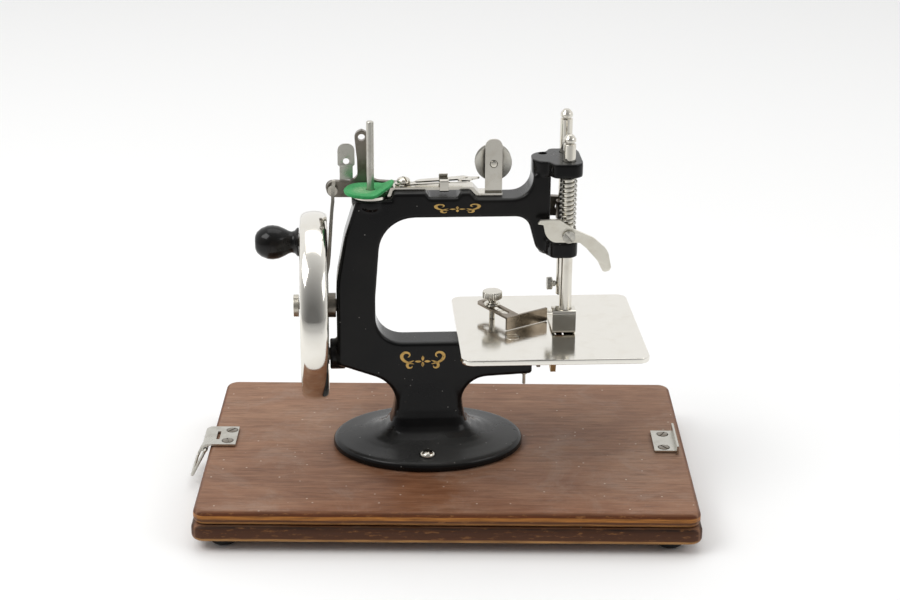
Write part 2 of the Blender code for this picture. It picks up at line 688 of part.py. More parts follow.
# ------------------------------------------------------------------ cloth plate
def make_plate(machine):
    left, right = PLATE_X
    corners = [(left, -PLATE_HALF_Y, 5.0), (right, -PLATE_HALF_Y, 5.0),
               (right, PLATE_HALF_Y, 5.0), (left, PLATE_HALF_Y, 5.0)]
    plate = sheet(rounded(corners), PLATE_RIM)
    bevel(plate, 0.6, 2, 50)
    inset = PLATE_SHEET
    pocket_corners = [(left + inset, -PLATE_HALF_Y + inset, 3.8),
                      (right - inset, -PLATE_HALF_Y + inset, 3.8),
                      (right - inset, PLATE_HALF_Y - inset, 3.8),
                      (left + inset, PLATE_HALF_Y - inset, 3.8)]
    pocket = sheet(rounded(pocket_corners), 4.0)
    combine(plate, at(pocket, machine, (0, 0, PLATE_TOP - PLATE_SHEET - 2.0)), "DIFFERENCE")
    cuts = [sheet(rounded([(60.0, -11.6, 0.5), (64.0, -11.6, 0.5), (64.0, 5.4, 0.5),
                           (60.0, 5.4, 0.5)], 2), 6.0),
            rod(1.5, -3, 3, 16), rod(1.3, -3, 3, 16)]
    places = [(0, 0, PLATE_TOP), (*NEEDLE_HOLE, PLATE_TOP), (*GUIDE_PIVOT, PLATE_TOP)]
    for cutter, place in zip(cuts, places):
        combine(plate, at(cutter, machine, place), "DIFFERENCE")
    for number, (x, y) in enumerate(PLATE_SCREWS, 1):
        hole = rod(3.5, -3, 3, 20)
        combine(plate, at(hole, machine, (x, y, PLATE_TOP)), "DIFFERENCE")
        screw(f"plate_screw_{number}", machine, (x, y, PLATE_TOP), (0, 0, 0), (3.2, 1.1),
              (1.6, 6.0), turn=0.2)
    finish(plate, "cloth_plate", NICKEL, machine, (0, 0, PLATE_TOP - PLATE_RIM / 2))


def make_guide(machine):
    """Edge guide: a slotted strip under the thumbscrew, turned down into a fence."""
    axis = new_empty("guide_axis", (*GUIDE_PIVOT, 0), GUIDE_TURN, machine)
    strip_low = 65.9
    strip_high = 66.9
    strip = sheet(rounded([(-3.8, -17.6, 0.4), (3.8, -17.6, 0.4), (3.8, 9.0, 3.0),
                           (-3.8, 9.0, 3.0)]), strip_high - strip_low,
                  [slot_of((0, -11.0), (0, 5.0), 1.9)])
    finish(strip, "cloth_guide", DULL_NICKEL, axis, (0, 0, (strip_high + strip_low) / 2))
    fence = box((24.0, 1.2, 6.5), (8.2, -17.0, 63.65))
    combine(strip, at(fence, axis), "UNION")

    washer = turned([(1.75, 68.2), (3.9, 68.2), (3.9, 67.2), (1.75, 67.2)], closed=True, steps=16)
    finish(washer, "guide_washer", NICKEL, axis)
    thumb = turned([(0, 74.4), (3.9, 74.4), (4.3, 74.0), (4.3, 71.0), (3.9, 70.6), (2.3, 70.4),
                    (2.1, 69.2), (2.9, 68.5), (1.45, 68.5), (1.45, 60.4), (1.0, 60.4), (1.0, 59.0),
                    (0, 59.0)], steps=16)
    finish(thumb, "guide_thumbscrew", NICKEL, machine, (*GUIDE_PIVOT, 0))


# ------------------------------------------------------------------ presser side
def make_presser(machine):
    bar_frame = new_empty("presser_axis", (BAR_X, -BAR_Y, 0), parent=machine)
    bar = turned([(0, PRESSER_TOP), (1.4, PRESSER_TOP - 0.3), (2.1, PRESSER_TOP - 1.1),
                  (BAR_RADIUS, PRESSER_TOP - 2.2), (BAR_RADIUS, PRESSER_TOP - 3.6),
                  (2.0, PRESSER_TOP - 3.9), (2.0, PRESSER_TOP - 4.5),
                  (BAR_RADIUS, PRESSER_TOP - 4.8), (BAR_RADIUS, 62.6), (0, 62.6)], steps=18)
    finish(bar, "presser_bar", NICKEL, bar_frame)

    low, high = COLLAR_Z
    collar = turned([(BAR_RADIUS + GAP, high), (4.1, high), (4.1, low),
                     (BAR_RADIUS + GAP, low)], closed=True, steps=20)
    combine(collar, at(rod(1.5, 0, 8, 16), bar_frame, (0, 0, LIFTER_PIVOT[1]), ALONG_MINUS_Y),
            "DIFFERENCE")
    finish(collar, "presser_collar", STEEL, bar_frame)

    top = HEAD_TOP - HEAD_BLOCK
    spring = wire(helix(3.75, high + 0.65, top - 0.65, 11, 8), 0.42)
    finish(spring, "presser_spring", DULL_NICKEL, bar_frame)

    foot_side = rounded([(-11.6, 60.4, 2.0), (12.6, 60.4, 1.5), (15.0, 62.2, 0.4),
                         (14.4, 63.2, 0.4), (12.0, 61.6, 1.0), (-10.5, 61.6, 0.8),
                         (-10.5, 70.9, 0.4), (-4.2, 70.9, 0.4), (-4.2, 72.1, 0.4),
                         (-11.6, 72.1, 1.6)], 3)
    foot = sheet(foot_side, 11.0)
    finish(foot, "presser_foot", NICKEL, machine, (BAR_X - 0.7, 0, 0), CROSSWISE)
    hole = rod(BAR_RADIUS + GAP, 68, 75, 20)
    combine(foot, at(hole, machine, (BAR_X, -BAR_Y, 0)), "DIFFERENCE")
    eye = rod(1.6, 58, 64, 16)
    combine(foot, at(eye, machine, (*NEEDLE_HOLE, 0)), "DIFFERENCE")


def lifter_outline():
    """The cam edge is an involute from flat contact round to the left; the rest is the handle."""
    pivot = Vector(LIFTER_PIVOT)
    edge = []
    for step in range(9):
        turned_by = math.radians(66) * step / 8
        normal_angle = -math.pi / 2 - turned_by
        normal = Vector((math.cos(normal_angle), math.sin(normal_angle)))
        tangent = Vector((normal.y, -normal.x))
        support = LIFTER_BASE + LIFTER_RISE * turned_by
        edge.append(pivot + normal * support + tangent * LIFTER_RISE)
    cam = [tuple(point) for point in edge]
    crown = rounded([(52.7, 115.9, 0.4), (50.0, 116.4, 0.3), (51.3, 118.2, 1.2),
                     (60.0, 118.6, 5.0), (67.0, 113.6, 8.0), (76.5, 109.2, 10.0),
                     (83.2, 103.0, 8.0), (85.0, 93.4, 1.4), (82.2, 92.6, 1.0),
                     (79.0, 98.0, 10.0), (73.0, 104.8, 8.0), (69.9, 107.3)], 4)
    return crown + cam


def make_lifter(machine):
    axis = new_empty("lifter_axis", (LIFTER_PIVOT[0], LIFTER_Y, LIFTER_PIVOT[1]), parent=machine)
    outline = [(x - LIFTER_PIVOT[0], z - LIFTER_PIVOT[1]) for x, z in lifter_outline()]
    lever = sheet(outline, 1.6, [ring_of((0, 0), 1.5 + GAP)])
    finish(lever, "lifting_lever", DULL_NICKEL, axis, rotation=UPRIGHT)
    screw("lifting_screw", axis, (0, -2.2, 0), ALONG_MINUS_Y, (2.8, 1.1), (1.2, 3.4), turn=-0.87,
          look=DULL_NICKEL)


# ------------------------------------------------------------------ needle side
def make_needle_bar(machine):
    frame = new_empty("needle_axis", (BAR_X, BAR_Y, 0), parent=machine)
    bar = turned([(0, NEEDLE_TOP), (1.4, NEEDLE_TOP - 0.3), (2.1, NEEDLE_TOP - 1.1),
                  (BAR_RADIUS, NEEDLE_TOP - 2.2), (BAR_RADIUS, NEEDLE_TOP - 3.6),
                  (2.0, NEEDLE_TOP - 3.9), (2.0, NEEDLE_TOP - 4.5),
                  (BAR_RADIUS, NEEDLE_TOP - 4.8), (BAR_RADIUS, 74.0), (0, 74.0)], steps=18)
    finish(bar, "needle_bar", NICKEL, frame)
    combine(bar, at(rod(1.1, 70, 83, 16), frame), "DIFFERENCE")
    tapped = rod(1.2, -6, 0, 16)
    combine(bar, at(tapped, frame, (0, 0, 79.2), ALONG_X), "DIFFERENCE")

    collar = turned([(BAR_RADIUS + GAP, 121.0), (3.9, 121.0), (3.9, 112.6),
                     (BAR_RADIUS + GAP, 112.6)], closed=True, steps=20)
    finish(collar, "needle_bar_collar", STEEL, frame)
    stud = rod(1.5, 3.2, 8.0, 16)
    combine(collar, at(stud, frame, (0, 0, LEVER_RIGHT[1]), ALONG_Y), "UNION")

    needle = turned([(0, 82.5), (0.8, 82.5), (0.8, 70.0), (0.5, 68.0), (0.5, 54.0), (0.12, 51.0),
                     (0, 51.0)], steps=16)
    finish(needle, "needle", NICKEL, frame)
    clamp = turned([(0, 7.4), (2.8, 7.4), (3.1, 7.1), (3.1, 5.0), (2.8, 4.7), (1.5, 4.5),
                    (1.5, 3.2), (0.9, 3.2), (0.9, 1.2), (0, 1.2)], steps=16)
    finish(clamp, "needle_clamp_screw", DULL_NICKEL, frame, (0, 0, 79.2), ALONG_MINUS_X)


def make_lever(machine):
    pivot_x, pivot_z = LEVER_PIVOT
    axis = new_empty("lever_axis", (pivot_x, LEVER_Y, pivot_z), parent=machine)
    corners = [(-48.7, 122.7, 3.8), (-30.0, 122.4, 4.0), (-12.0, 117.9, 14.0),
               (40.0, 115.0, 20.0), (57.0, 112.2, 4.0), (69.6, 111.9, 2.0),
               (69.6, 121.2, 2.0), (57.0, 121.9, 4.0), (36.0, 122.6, 10.0), (-12.0, 129.4, 20.0),
               (-28.2, 131.0, 5.0), (-28.9, 142.0, 4.0), (-27.9, 155.0, 2.6),
               (-33.9, 155.0, 2.6), (-33.0, 142.0, 4.0), (-32.8, 131.4, 3.0),
               (-35.0, 130.3, 0.6), (-48.7, 130.5, 3.8)]
    outline = [(x - pivot_x, z - pivot_z) for x, z in rounded(corners)]
    slot_z = LEVER_RIGHT[1] - pivot_z
    holes = [ring_of((0, 0), 2.5 + GAP), ring_of((-30.9 - pivot_x, 151.4 - pivot_z), 1.5, 14),
             slot_of((62.7 - pivot_x, slot_z), (66.7 - pivot_x, slot_z), 1.5 + GAP),
             ring_of((LEVER_LEFT[0] - pivot_x, LEVER_LEFT[1] - pivot_z), 1.5 + GAP, 14)]
    lever = sheet(outline, LEVER_THICKNESS, holes)
    finish(lever, "needle_lever", STEEL, axis, rotation=UPRIGHT)
    screw("link_screw", axis, (LEVER_LEFT[0] - pivot_x, 4.0, LEVER_LEFT[1] - pivot_z), ALONG_Y,
          (3.3, 2.2), (1.45, 8.0), dome=1.4, turn=0.6, look=STEEL)
    screw("lever_pivot_screw", axis, (0, 4.1, 0), ALONG_Y, (4.6, 2.2), (1.9, 12.6), turn=0.7)

    tab = sheet(rounded([(-3.1, 0.0), (3.1, 0.0), (3.1, 6.6, 0.3), (4.0, 7.4, 0.3),
                         (4.0, 17.6, 3.4), (-4.0, 17.6, 3.4), (-4.0, 7.4, 0.3),
                         (-3.1, 6.6, 0.3)]), 0.9, [ring_of((0, 9.1), 1.5, 14)])
    finish(tab, "thread_eyelet", NICKEL, axis,
           (-38.9 - pivot_x, 0.5, 130.6 - pivot_z), UPRIGHT)
    foot = box((6.2, 3.6, 0.9), (-38.9 - pivot_x, 2.0, 131.05 - pivot_z))
    combine(tab, at(foot, axis), "UNION")


def make_link(machine):
    """Strip from the lever down into the wheel's cup, where its fork straddles the stud."""
    eye_x, eye_z = LEVER_LEFT
    path = [(eye_x, 9.3, eye_z - 2.2, 3.9), (eye_x, 9.0, 122.0, 5.0), (-45.4, 7.8, 117.0, 5.0),
            (-46.9, 3.0, 97.0, 5.0), (-47.5, 1.3, 92.5, 7.0), (LINK_FORK_X, 0.0, 87.0, 10.0),
            (LINK_FORK_X, 0.0, 83.2, 14.0)]
    half = LINK_THICKNESS / 2
    rings = []
    for x, y, z, width in reversed(path):
        rings.append([(x - half, y - width / 2, z), (x + half, y - width / 2, z),
                      (x + half, y + width / 2, z), (x - half, y + width / 2, z)])
    link = loft(rings)
    finish(link, "connecting_link", DULL_NICKEL, machine)
    fork = sheet([(-7.2, 62.0), (-4.4, 62.0), (-4.4, 83.4), (4.4, 83.4), (4.4, 62.0), (7.2, 62.0),
                  (7.2, 85.4), (5.6, 88.2), (-5.6, 88.2), (-7.2, 85.4)], LINK_THICKNESS)
    combine(link, at(fork, machine, (LINK_FORK_X, 0, 0), CROSSWISE), "UNION")
    pin = rod(1.5, -52.4, LINK_FORK_X, 14)
    combine(link, at(pin, machine, (0, 0, 87.4), ALONG_X), "UNION")
    knuckle = rod(2.7, 7.35, 11.25, 20)
    combine(link, at(knuckle, machine, (eye_x, 0, eye_z), ALONG_Y), "UNION")
    bore = rod(1.45 + 1.2 * GAP, 0, 20, 16)
    combine(link, at(bore, machine, (eye_x, 0, eye_z), ALONG_Y), "DIFFERENCE")


# ------------------------------------------------------------------ thread path on the arm
def make_top_plate(machine):
    """Bent strip: spool seat, raised middle, lower right end with the tension tab."""
    low = SPOOL_SEAT + GAP
    mid = PAD_TOP + GAP
    right = ARM_TOP + GAP
    thick = 1.3
    side = rounded([(-24.0, low), (-18.0, low), (-16.9, mid), (19.4, mid), (22.2, right, 0.6),
                    (34.2, right), (34.2, right + thick), (23.4, right + thick, 1.2),
                    (20.4, mid + thick, 1.2), (-18.0, mid + thick, 1.0),
                    (-19.1, low + thick, 0.6), (-24.0, low + thick)], 2)
    plate = sheet(side, 8.0)
    finish(plate, "top_plate", NICKEL, machine, rotation=UPRIGHT)
    seat = rod(8.6, low, low + thick, 32)
    combine(plate, at(seat, machine, (*SPOOL, 0)), "UNION")
    x, z = TENSION
    tab = sheet(rounded([(x - 4.05, right + 0.4), (x + 4.0, right + 0.4), (x + 4.0, 154.0, 3.6),
                         (x - 4.05, 154.0, 3.6)], 5), 1.1)
    combine(plate, at(tab, machine, (0, TENSION_TAB_Y, 0), UPRIGHT), "UNION")
    holes = (((*SPOOL, 0), (0, 0, 0), 1.75 + GAP, 120, 135),
             ((DOME_SCREW_X, 0, 0), (0, 0, 0), 1.9, 124, 136),
             ((x, 0, z), ALONG_Y, 1.6 + GAP, -4, 4))
    for place, rotation, radius, start, stop in holes:
        combine(plate, at(rod(radius, start, stop, 20), machine, place, rotation), "DIFFERENCE")


def make_thread_leaf(machine):
    """Springy leaf held by the dome screw; the clip keeps it over the plate."""
    base = PAD_TOP + GAP + 1.3 + GAP
    tilt = math.radians(-3.4)
    leaf_outline = (half_ring((0, 0), 4.0, math.pi / 2)
                    + rounded([(3.2, -2.6, 1.0), (20.5, -1.7, 2.0), (24.5, -4.6, 3.0),
                               (30.0, -4.6, 3.0), (32.8, -1.6, 2.0), (35.4, 0.2, 0.3),
                               (35.4, 1.2, 0.3), (31.6, 2.2, 3.0), (27.0, 4.6, 3.0),
                               (22.0, 2.2, 2.0), (3.2, 2.6, 1.0)], 3))
    leaf = sheet(leaf_outline, 0.7, [ring_of((0, 0), 1.9, 16),
                                     slot_of((26.2, -1.4), (29.2, 0.4), 0.95, 4)])
    finish(leaf, "thread_leaf", NICKEL, machine, (DOME_SCREW_X, 0, base + 0.7), (0, tilt, 0))
    screw("top_plate_screw", machine, (DOME_SCREW_X, 0, base + 4.9), (0, 0, 0), (3.1, 3.4),
          (1.6, 7.2), dome=2.6, turn=2.0)
    clip_outer = rounded([(-4.9, 129.5, 0.8), (4.9, 129.5, 0.8), (4.9, 136.6, 0.8),
                          (-4.9, 136.6, 0.8)], 3)
    clip_inner = rounded([(-4.3, 130.1, 0.4), (4.3, 130.1, 0.4), (4.3, 136.0, 0.4),
                          (-4.3, 136.0, 0.4)], 2)
    clip = sheet(clip_outer, 5.2, [clip_inner])
    finish(clip, "leaf_clip", NICKEL, machine, (7.0, 0, 0), CROSSWISE)


def make_spool(machine):
    pin = turned([(0, 163.0), (1.3, 163.0), (1.75, 162.5), (1.75, 118.0), (0, 118.0)], steps=20)
    finish(pin, "spool_pin", NICKEL, machine, (*SPOOL, 0))
    low = SPOOL_SEAT + GAP + 1.3 + GAP
    thick = FELT_THICKNESS
    bend = rounded([(-12.5, low), (2.2, low, 6.0), (8.0, low + 3.7, 6.0), (12.5, low + 4.6),
                    (12.5, low + 4.6 + thick), (8.0, low + 3.7 + thick, 4.0),
                    (2.2, low + thick, 4.0), (-12.5, low + thick)], 3)
    pad = sheet(bend, 26.0)
    finish(pad, "felt_pad", FELT, machine, (*SPOOL, 0), UPRIGHT)
    combine(pad, at(rod(FELT_RADIUS, 120, 140, 32), machine, (*FELT_CENTRE, 0)), "INTERSECT")
    combine(pad, at(rod(1.75 + GAP, 120, 140, 16), machine, (*SPOOL, 0)), "DIFFERENCE")


def make_tension(machine):
    x, z = TENSION
    frame = new_empty("tension_axis", (x, 0, z), parent=machine)
    front = TENSION_TAB_Y - 0.55
    stud = turned([(0, 17.4), (1.3, 17.4), (1.6, 17.0), (1.6, front - 0.3), (0, front - 0.3)],
                  steps=20)
    finish(stud, "tension_stud", NICKEL, frame, rotation=ALONG_Y)
    bore = 1.6 + GAP
    disc_places = (("tension_disc_front", 0.0, 1.2), ("tension_disc_back", 3.6, 2.4))
    for name, rim, face in disc_places:
        disc = turned([(bore, face + 0.6), (5.6, face + 0.6), (8.6, rim + 0.6), (8.6, rim),
                       (5.6, face), (bore, face)], closed=True, steps=22)
        finish(disc, name, NICKEL, frame, rotation=ALONG_Y)
    spring = wire(helix(4.4, 3.9, 10.3, 3.5, 7, 2.7), 0.4)
    finish(spring, "tension_spring", DULL_NICKEL, frame, rotation=ALONG_Y)
    nut = turned([(bore, 15.6), (3.0, 15.6), (3.6, 15.0), (3.6, 12.4), (4.3, 12.0), (4.3, 11.2),
                  (bore, 11.2)], closed=True, steps=16)
    finish(nut, "tension_nut", NICKEL, frame, rotation=ALONG_Y)


# ------------------------------------------------------------------ the whole object
def main():
    board = new_empty("board_frame", (ORIGIN_SHIFT, 0, BOARD_TOP))
    machine = new_empty("machine_frame_axes", (*MACHINE_PLACE, 0), MACHINE_YAW, board)
    make_board(board)
    make_left_catch(board)
    make_right_catch(board)
    make_frame(machine)
    make_wheel(machine)
    make_looper_shaft(machine)
    make_feed(machine)
    make_plate(machine)
    make_guide(machine)
    make_presser(machine)
    make_lifter(machine)
    make_needle_bar(machine)
    make_lever(machine)
    make_link(machine)
    make_top_plate(machine)
    make_thread_leaf(machine)
    make_spool(machine)
    make_tension(machine)


clear_scene()
PARTS = new_collection(OBJECT_NAME)
TOOLS = new_collection("cutters")
main()
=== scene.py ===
"""Looks for the toy sewing machine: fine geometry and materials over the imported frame.

Lengths are millimetres and MM turns them into metres.  The board and the machine each have
their own axes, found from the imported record.  Every piece is built there, then rides on the
body of the CAD node it stands for.
"""

import json
import math

import bmesh
import bpy
from mathutils import Matrix, Vector

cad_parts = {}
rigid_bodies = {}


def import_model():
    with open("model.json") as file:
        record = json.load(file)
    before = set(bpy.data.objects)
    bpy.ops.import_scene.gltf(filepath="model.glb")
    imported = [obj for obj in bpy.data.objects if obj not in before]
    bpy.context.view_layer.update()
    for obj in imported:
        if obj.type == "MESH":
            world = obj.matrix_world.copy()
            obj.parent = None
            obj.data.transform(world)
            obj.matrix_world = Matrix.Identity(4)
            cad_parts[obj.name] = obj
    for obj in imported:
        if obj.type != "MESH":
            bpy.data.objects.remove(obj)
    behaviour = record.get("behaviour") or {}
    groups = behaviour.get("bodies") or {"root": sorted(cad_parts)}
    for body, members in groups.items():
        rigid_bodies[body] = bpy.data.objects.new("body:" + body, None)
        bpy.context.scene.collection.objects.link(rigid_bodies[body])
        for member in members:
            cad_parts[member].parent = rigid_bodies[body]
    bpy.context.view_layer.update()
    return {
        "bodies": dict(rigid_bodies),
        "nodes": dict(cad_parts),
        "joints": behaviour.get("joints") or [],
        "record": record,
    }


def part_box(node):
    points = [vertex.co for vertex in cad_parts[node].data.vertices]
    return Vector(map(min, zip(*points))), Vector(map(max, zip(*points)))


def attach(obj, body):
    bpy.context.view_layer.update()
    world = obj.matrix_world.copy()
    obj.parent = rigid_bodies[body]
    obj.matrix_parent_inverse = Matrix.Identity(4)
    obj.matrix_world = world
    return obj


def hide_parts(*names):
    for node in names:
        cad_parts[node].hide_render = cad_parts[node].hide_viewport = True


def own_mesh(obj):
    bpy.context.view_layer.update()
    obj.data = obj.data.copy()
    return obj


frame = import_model()

MM = 0.001
GAP = 0.3                     # clearance between neighbours that touch on the real machine
TURN = 2 * math.pi
FINE = 3                      # how much finer round shapes are than in the CAD

RECORD = frame["record"]
BODY_OF = {node: body for body, nodes in RECORD["behaviour"]["bodies"].items() for node in nodes}
SLOT_OF = {entry["node"]: entry["material_slot"] for entry in RECORD["subparts"]}
# Nodes whose finish differs from the rest of their material slot
LOOK_OF = {"cloth_plate": "polished_nickel", "handwheel": "polished_nickel",
           "thread_eyelet": "satin_nickel", "tension_disc_back": "satin_nickel",
           "tension_disc_front": "satin_nickel", "spool_pin": "satin_nickel",
           "cloth_guide": "bronzed", "presser_spring": "satin_nickel",
           "needle_clamp_screw": "satin_nickel", "bail": "satin_nickel",
           "lifting_lever": "pale_nickel", "lifting_screw": "satin_nickel",
           "catch_plate_left": "satin_nickel", "catch_plate_right": "satin_nickel"}
JOINTS = {joint["name"]: joint for joint in RECORD["behaviour"]["joints"]}

# Board
BOARD_LENGTH = 232.0
BOARD_DEPTH = 150.2
UPPER_PLY = 7.2
LOWER_PLY = 8.3
LOWER_OVERHANG = 1.0
FOOT_HEIGHT = 5.0
FOOT_RADIUS = 7.0
FOOT_INSET_X = 13.0
FOOT_INSET_Y = 11.0
BOARD_TOP = FOOT_HEIGHT + LOWER_PLY + UPPER_PLY

# Catch hardware at the board's ends
BAIL_HINGE = (-118.0, 4.0, -1.4)          # middle of the hinge, from the board's top centre
BAIL_WIRE = 1.5
BAIL_WIDTH = 17.0
BAIL_LENGTH = 15.5
BAIL_LEAN = math.radians(27)
CATCH_SCREW_HEAD = (2.6, 1.1)             # radius and length
CATCH_SCREWS_LEFT = ((-106.6, 10.2), (-107.6, -1.9))
CATCH_SCREWS_RIGHT = ((106.2, 9.0), (105.4, -6.0))

# Machine on the board
ARM_DEPTH = 16.0
ARM_TOP = 127.0
PAD_TOP = 130.3
THROAT_TOP = 118.0
LOWER_ARM_TOP = 55.3
HEAD_TOP = 145.0
HEAD_BLOCK = 6.8
LOWER_BLOCK = (99.3, 107.0)
BASE_HALF = (46.2, 35.0)
BASE_SCREWS = ((-1.5, -26.5), (-1.5, 26.5))
STOP_PIN_X = 46.6

# Shafts
WHEEL_Z = 72.5
SHAFT_Z = 47.5
WHEEL_RADIUS = 45.0
WHEEL_X = (-60.5, -47.6)
GEAR_X = (-56.4, -53.4)
STUD_RADIUS = 4.0
SHAFT_RADIUS = 3.0
KNOB_RADIUS_ON_WHEEL = 32.0
KNOB_X = -60.9
KNOB_END = 81.5

# Bars of the head
BAR_X = 64.7
BAR_Y = 7.5
BAR_RADIUS = 2.9
PRESSER_TOP = 158.0
NEEDLE_TOP = 166.0
COLLAR_Z = (107.4, 112.2)
CLAMP_Z = 79.2

# Needle lever and link, behind the arm
LEVER_Y = 13.2
LEVER_THICKNESS = 3.0
LEVER_PIVOT = (-12.0, 123.6)
LEVER_LEFT = (-44.8, 126.6)
LEVER_RIGHT = (BAR_X, 116.6)
EYELET = (-38.3, 130.6)
LINK_FORK_X = -48.9
LINK_THICKNESS = 1.3

# Lifting lever: the edge is an involute, so the foot rises evenly with the turn
LIFTER_PIVOT = (BAR_X, 110.2)
LIFTER_Y = -12.8
LIFTER_RISE = 5.73            # millimetres of lift for each radian
LIFTER_BASE = 2.9             # pivot above the lower head block's top, less the gap

# Cloth plate and what is on it
PLATE_TOP = 60.0
PLATE_X = (13.4, 101.2)
PLATE_HALF_Y = 42.0
PLATE_SHEET = 1.2
PLATE_RIM = 2.8
PLATE_SCREWS = ((39.4, -13.3), (37.8, 21.0))
PLATE_SCREW_HEAD = (3.2, 1.1)
GUIDE_PIVOT = (31.5, 11.0)
GUIDE_TURN = math.radians(31)
NEEDLE_HOLE = (BAR_X, BAR_Y)

# Top of the arm
SPOOL = (-27.2, -0.5)
SPOOL_SEAT = 126.8
SPOOL_PIN_RADIUS = 1.75
PIN_TAP = 1.9                 # radius of the holes for the small screws
STRIP = 1.3                   # thickness of the bent top plate
FELT_CENTRE = (-27.9, -0.5)
FELT_RADIUS = 11.7
FELT_THICKNESS = 1.5
FELT_HOLE = 2.1
FELT_CURL = 4.0               # lift of the right edge
FELT_CURL_START = 2.8
FELT_CURL_RUN = 8.2
FELT_CURL_AWAY = math.radians(-12)
TENSION = (30.2, 142.1)
TENSION_TAB_Y = -1.0
TENSION_STUD = 1.6
DOME_SCREW_X = -11.8
# Painted ornament: centre in machine X and Z, width, and height as a share of its own shape
ARM_ORNAMENT = ((13.0, 122.4), 26.0, 0.42)
BASE_ORNAMENT = ((-3.0, 46.0), 26.0, 0.85)

# Camera
CAMERA_PLACE = (5.1, -844.9, 419.8)
CAMERA_PITCH = 21.0
CAMERA_ROLL = 0.41
CAMERA_LENS = 76.0

# Area lights: name, place, aim, size and power, in metres and watts
LIGHTS = (("key", (-0.9, -0.5, 1.3), (0, 0, 0.08), (0.9, 0.7), 9),
          ("fill", (1.2, -0.6, 0.9), (0, 0, 0.08), (0.8, 0.6), 3),
          ("top", (0, 0.4, 1.6), (0, 0, 0.05), (1.4, 1.0), 5))


def placed_axes():
    """Board and machine axes as matrices: the board's top centre, and the point above the
    shaft's joint, turned to the shaft's direction."""
    low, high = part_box("upper_board")
    top = high.z + GAP / 2 * MM
    board = Matrix.Translation(((low.x + high.x) / 2, (low.y + high.y) / 2, top))
    joint = JOINTS["shaft_turn"]
    yaw = math.atan2(joint["axis"][1], joint["axis"][0])
    x, y, z = joint["pos_m"]
    machine = Matrix.Translation((x, y, z - SHAFT_Z * MM)) @ Matrix.Rotation(yaw, 4, "Z")
    return board, machine


# ------------------------------------------------------------------ building blocks
PARTS = bpy.context.scene.collection
TOOLS = bpy.data.collections.new("cutters")
PARTS.children.link(TOOLS)
PIECES = []                   # (object, CAD node, edge radius)
ORNAMENT = []


def new_empty(name, location, turn=0.0, parent=None):
    empty = bpy.data.objects.new(name, None)
    empty.location = Vector(location) * MM
    empty.rotation_euler = (0, 0, turn)
    empty.parent = parent
    PARTS.objects.link(empty)
    return empty


def finish(obj, node, parent, location=(0, 0, 0), rotation=(0, 0, 0), edge=0.18):
    """Place a piece and note the CAD node it stands for."""
    obj.name = node + "_piece"
    at(obj, parent, location, rotation)
    PIECES.append((obj, node, edge))
    return obj


def mesh_object(name, mesh):
    obj = bpy.data.objects.new(name, mesh)
    PARTS.objects.link(obj)
    return obj


def from_bmesh(shape, name):
    mesh = bpy.data.meshes.new(name)
    shape.to_mesh(mesh)
    shape.free()
    return mesh_object(name, mesh)


def as_tool(obj):
    """Turn a piece into a cutter or a joining tool that is not part of the model."""
    for collection in list(obj.users_collection):
        collection.objects.unlink(obj)
    TOOLS.objects.link(obj)
    obj.hide_render = True
    obj.display_type = "WIRE"
    return obj


def combine(obj, operation, tool, parent, place=(0, 0, 0), rotation=(0, 0, 0), solver="EXACT"):
    boolean = obj.modifiers.new(operation.title(), "BOOLEAN")
    boolean.operation = operation
    boolean.object = as_tool(at(tool, parent, place, rotation))
    boolean.solver = solver


def fuse(obj, tool, parent, place=(0, 0, 0), rotation=(0, 0, 0)):
    combine(obj, "UNION", tool, parent, place, rotation)


def cut(obj, tool, parent, place=(0, 0, 0), rotation=(0, 0, 0)):
    combine(obj, "DIFFERENCE", tool, parent, place, rotation)


def drill(obj, parent, place, radius, low, high, rotation=(0, 0, 0), sides=16, solver="EXACT"):
    """Bore a hole on the turned local Z, between two heights above its place."""
    tool = rod(radius, low, high, sides)
    combine(obj, "DIFFERENCE", tool, parent, place, rotation, solver)


def settle(obj):
    """Replace a piece's mesh by what its modifiers make of it."""
    bpy.context.view_layer.update()
    graph = bpy.context.evaluated_depsgraph_get()
    mesh = bpy.data.meshes.new_from_object(obj.evaluated_get(graph))
    obj.modifiers.clear()
    obj.data = mesh


def ridged(obj, inner, low, high, count, depth):
    """Knurl the outside of a turned piece between two heights."""
    settle(obj)
    for vertex in obj.data.vertices:
        x, y, z = vertex.co / MM
        radius = math.hypot(x, y)
        if radius > inner and low <= z <= high:
            wave = 0.5 - 0.5 * math.cos(count * math.atan2(y, x))
            shrink = 1 - depth * wave / radius
            vertex.co.x *= shrink
            vertex.co.y *= shrink
    return obj


def at(obj, parent, location=(0, 0, 0), rotation=(0, 0, 0)):
    obj.parent = parent
    obj.location = Vector(location) * MM
    obj.rotation_euler = rotation
    return obj


def bevel(obj, width, segments=2, angle=40):
    modifier = obj.modifiers.new("Bevel", "BEVEL")
    modifier.width = width * MM
    modifier.segments = segments
    modifier.limit_method = "ANGLE"
    modifier.angle_limit = math.radians(angle)
    modifier.use_clamp_overlap = True
    return obj


def box(size, centre=(0, 0, 0)):
    """A box of the given size whose mesh is centred on a point."""
    shape = bmesh.new()
    bmesh.ops.create_cube(shape, size=1.0)
    bmesh.ops.scale(shape, vec=Vector(size) * MM, verts=shape.verts)
    bmesh.ops.translate(shape, vec=Vector(centre) * MM, verts=shape.verts)
    return from_bmesh(shape, "box")


def rod(radius, low, high, sides=24):
    """A cylinder on local Z between two heights."""
    shape = bmesh.new()
    bmesh.ops.create_cone(shape, cap_ends=True, segments=sides * FINE, radius1=radius * MM,
                          radius2=radius * MM, depth=(high - low) * MM)
    bmesh.ops.translate(shape, vec=(0, 0, (high + low) / 2 * MM), verts=shape.verts)
    return shade(from_bmesh(shape, "rod"))


def shade(obj):
    obj.data.shade_smooth()
    obj.data.set_sharp_from_angle(angle=math.radians(35))
    return obj


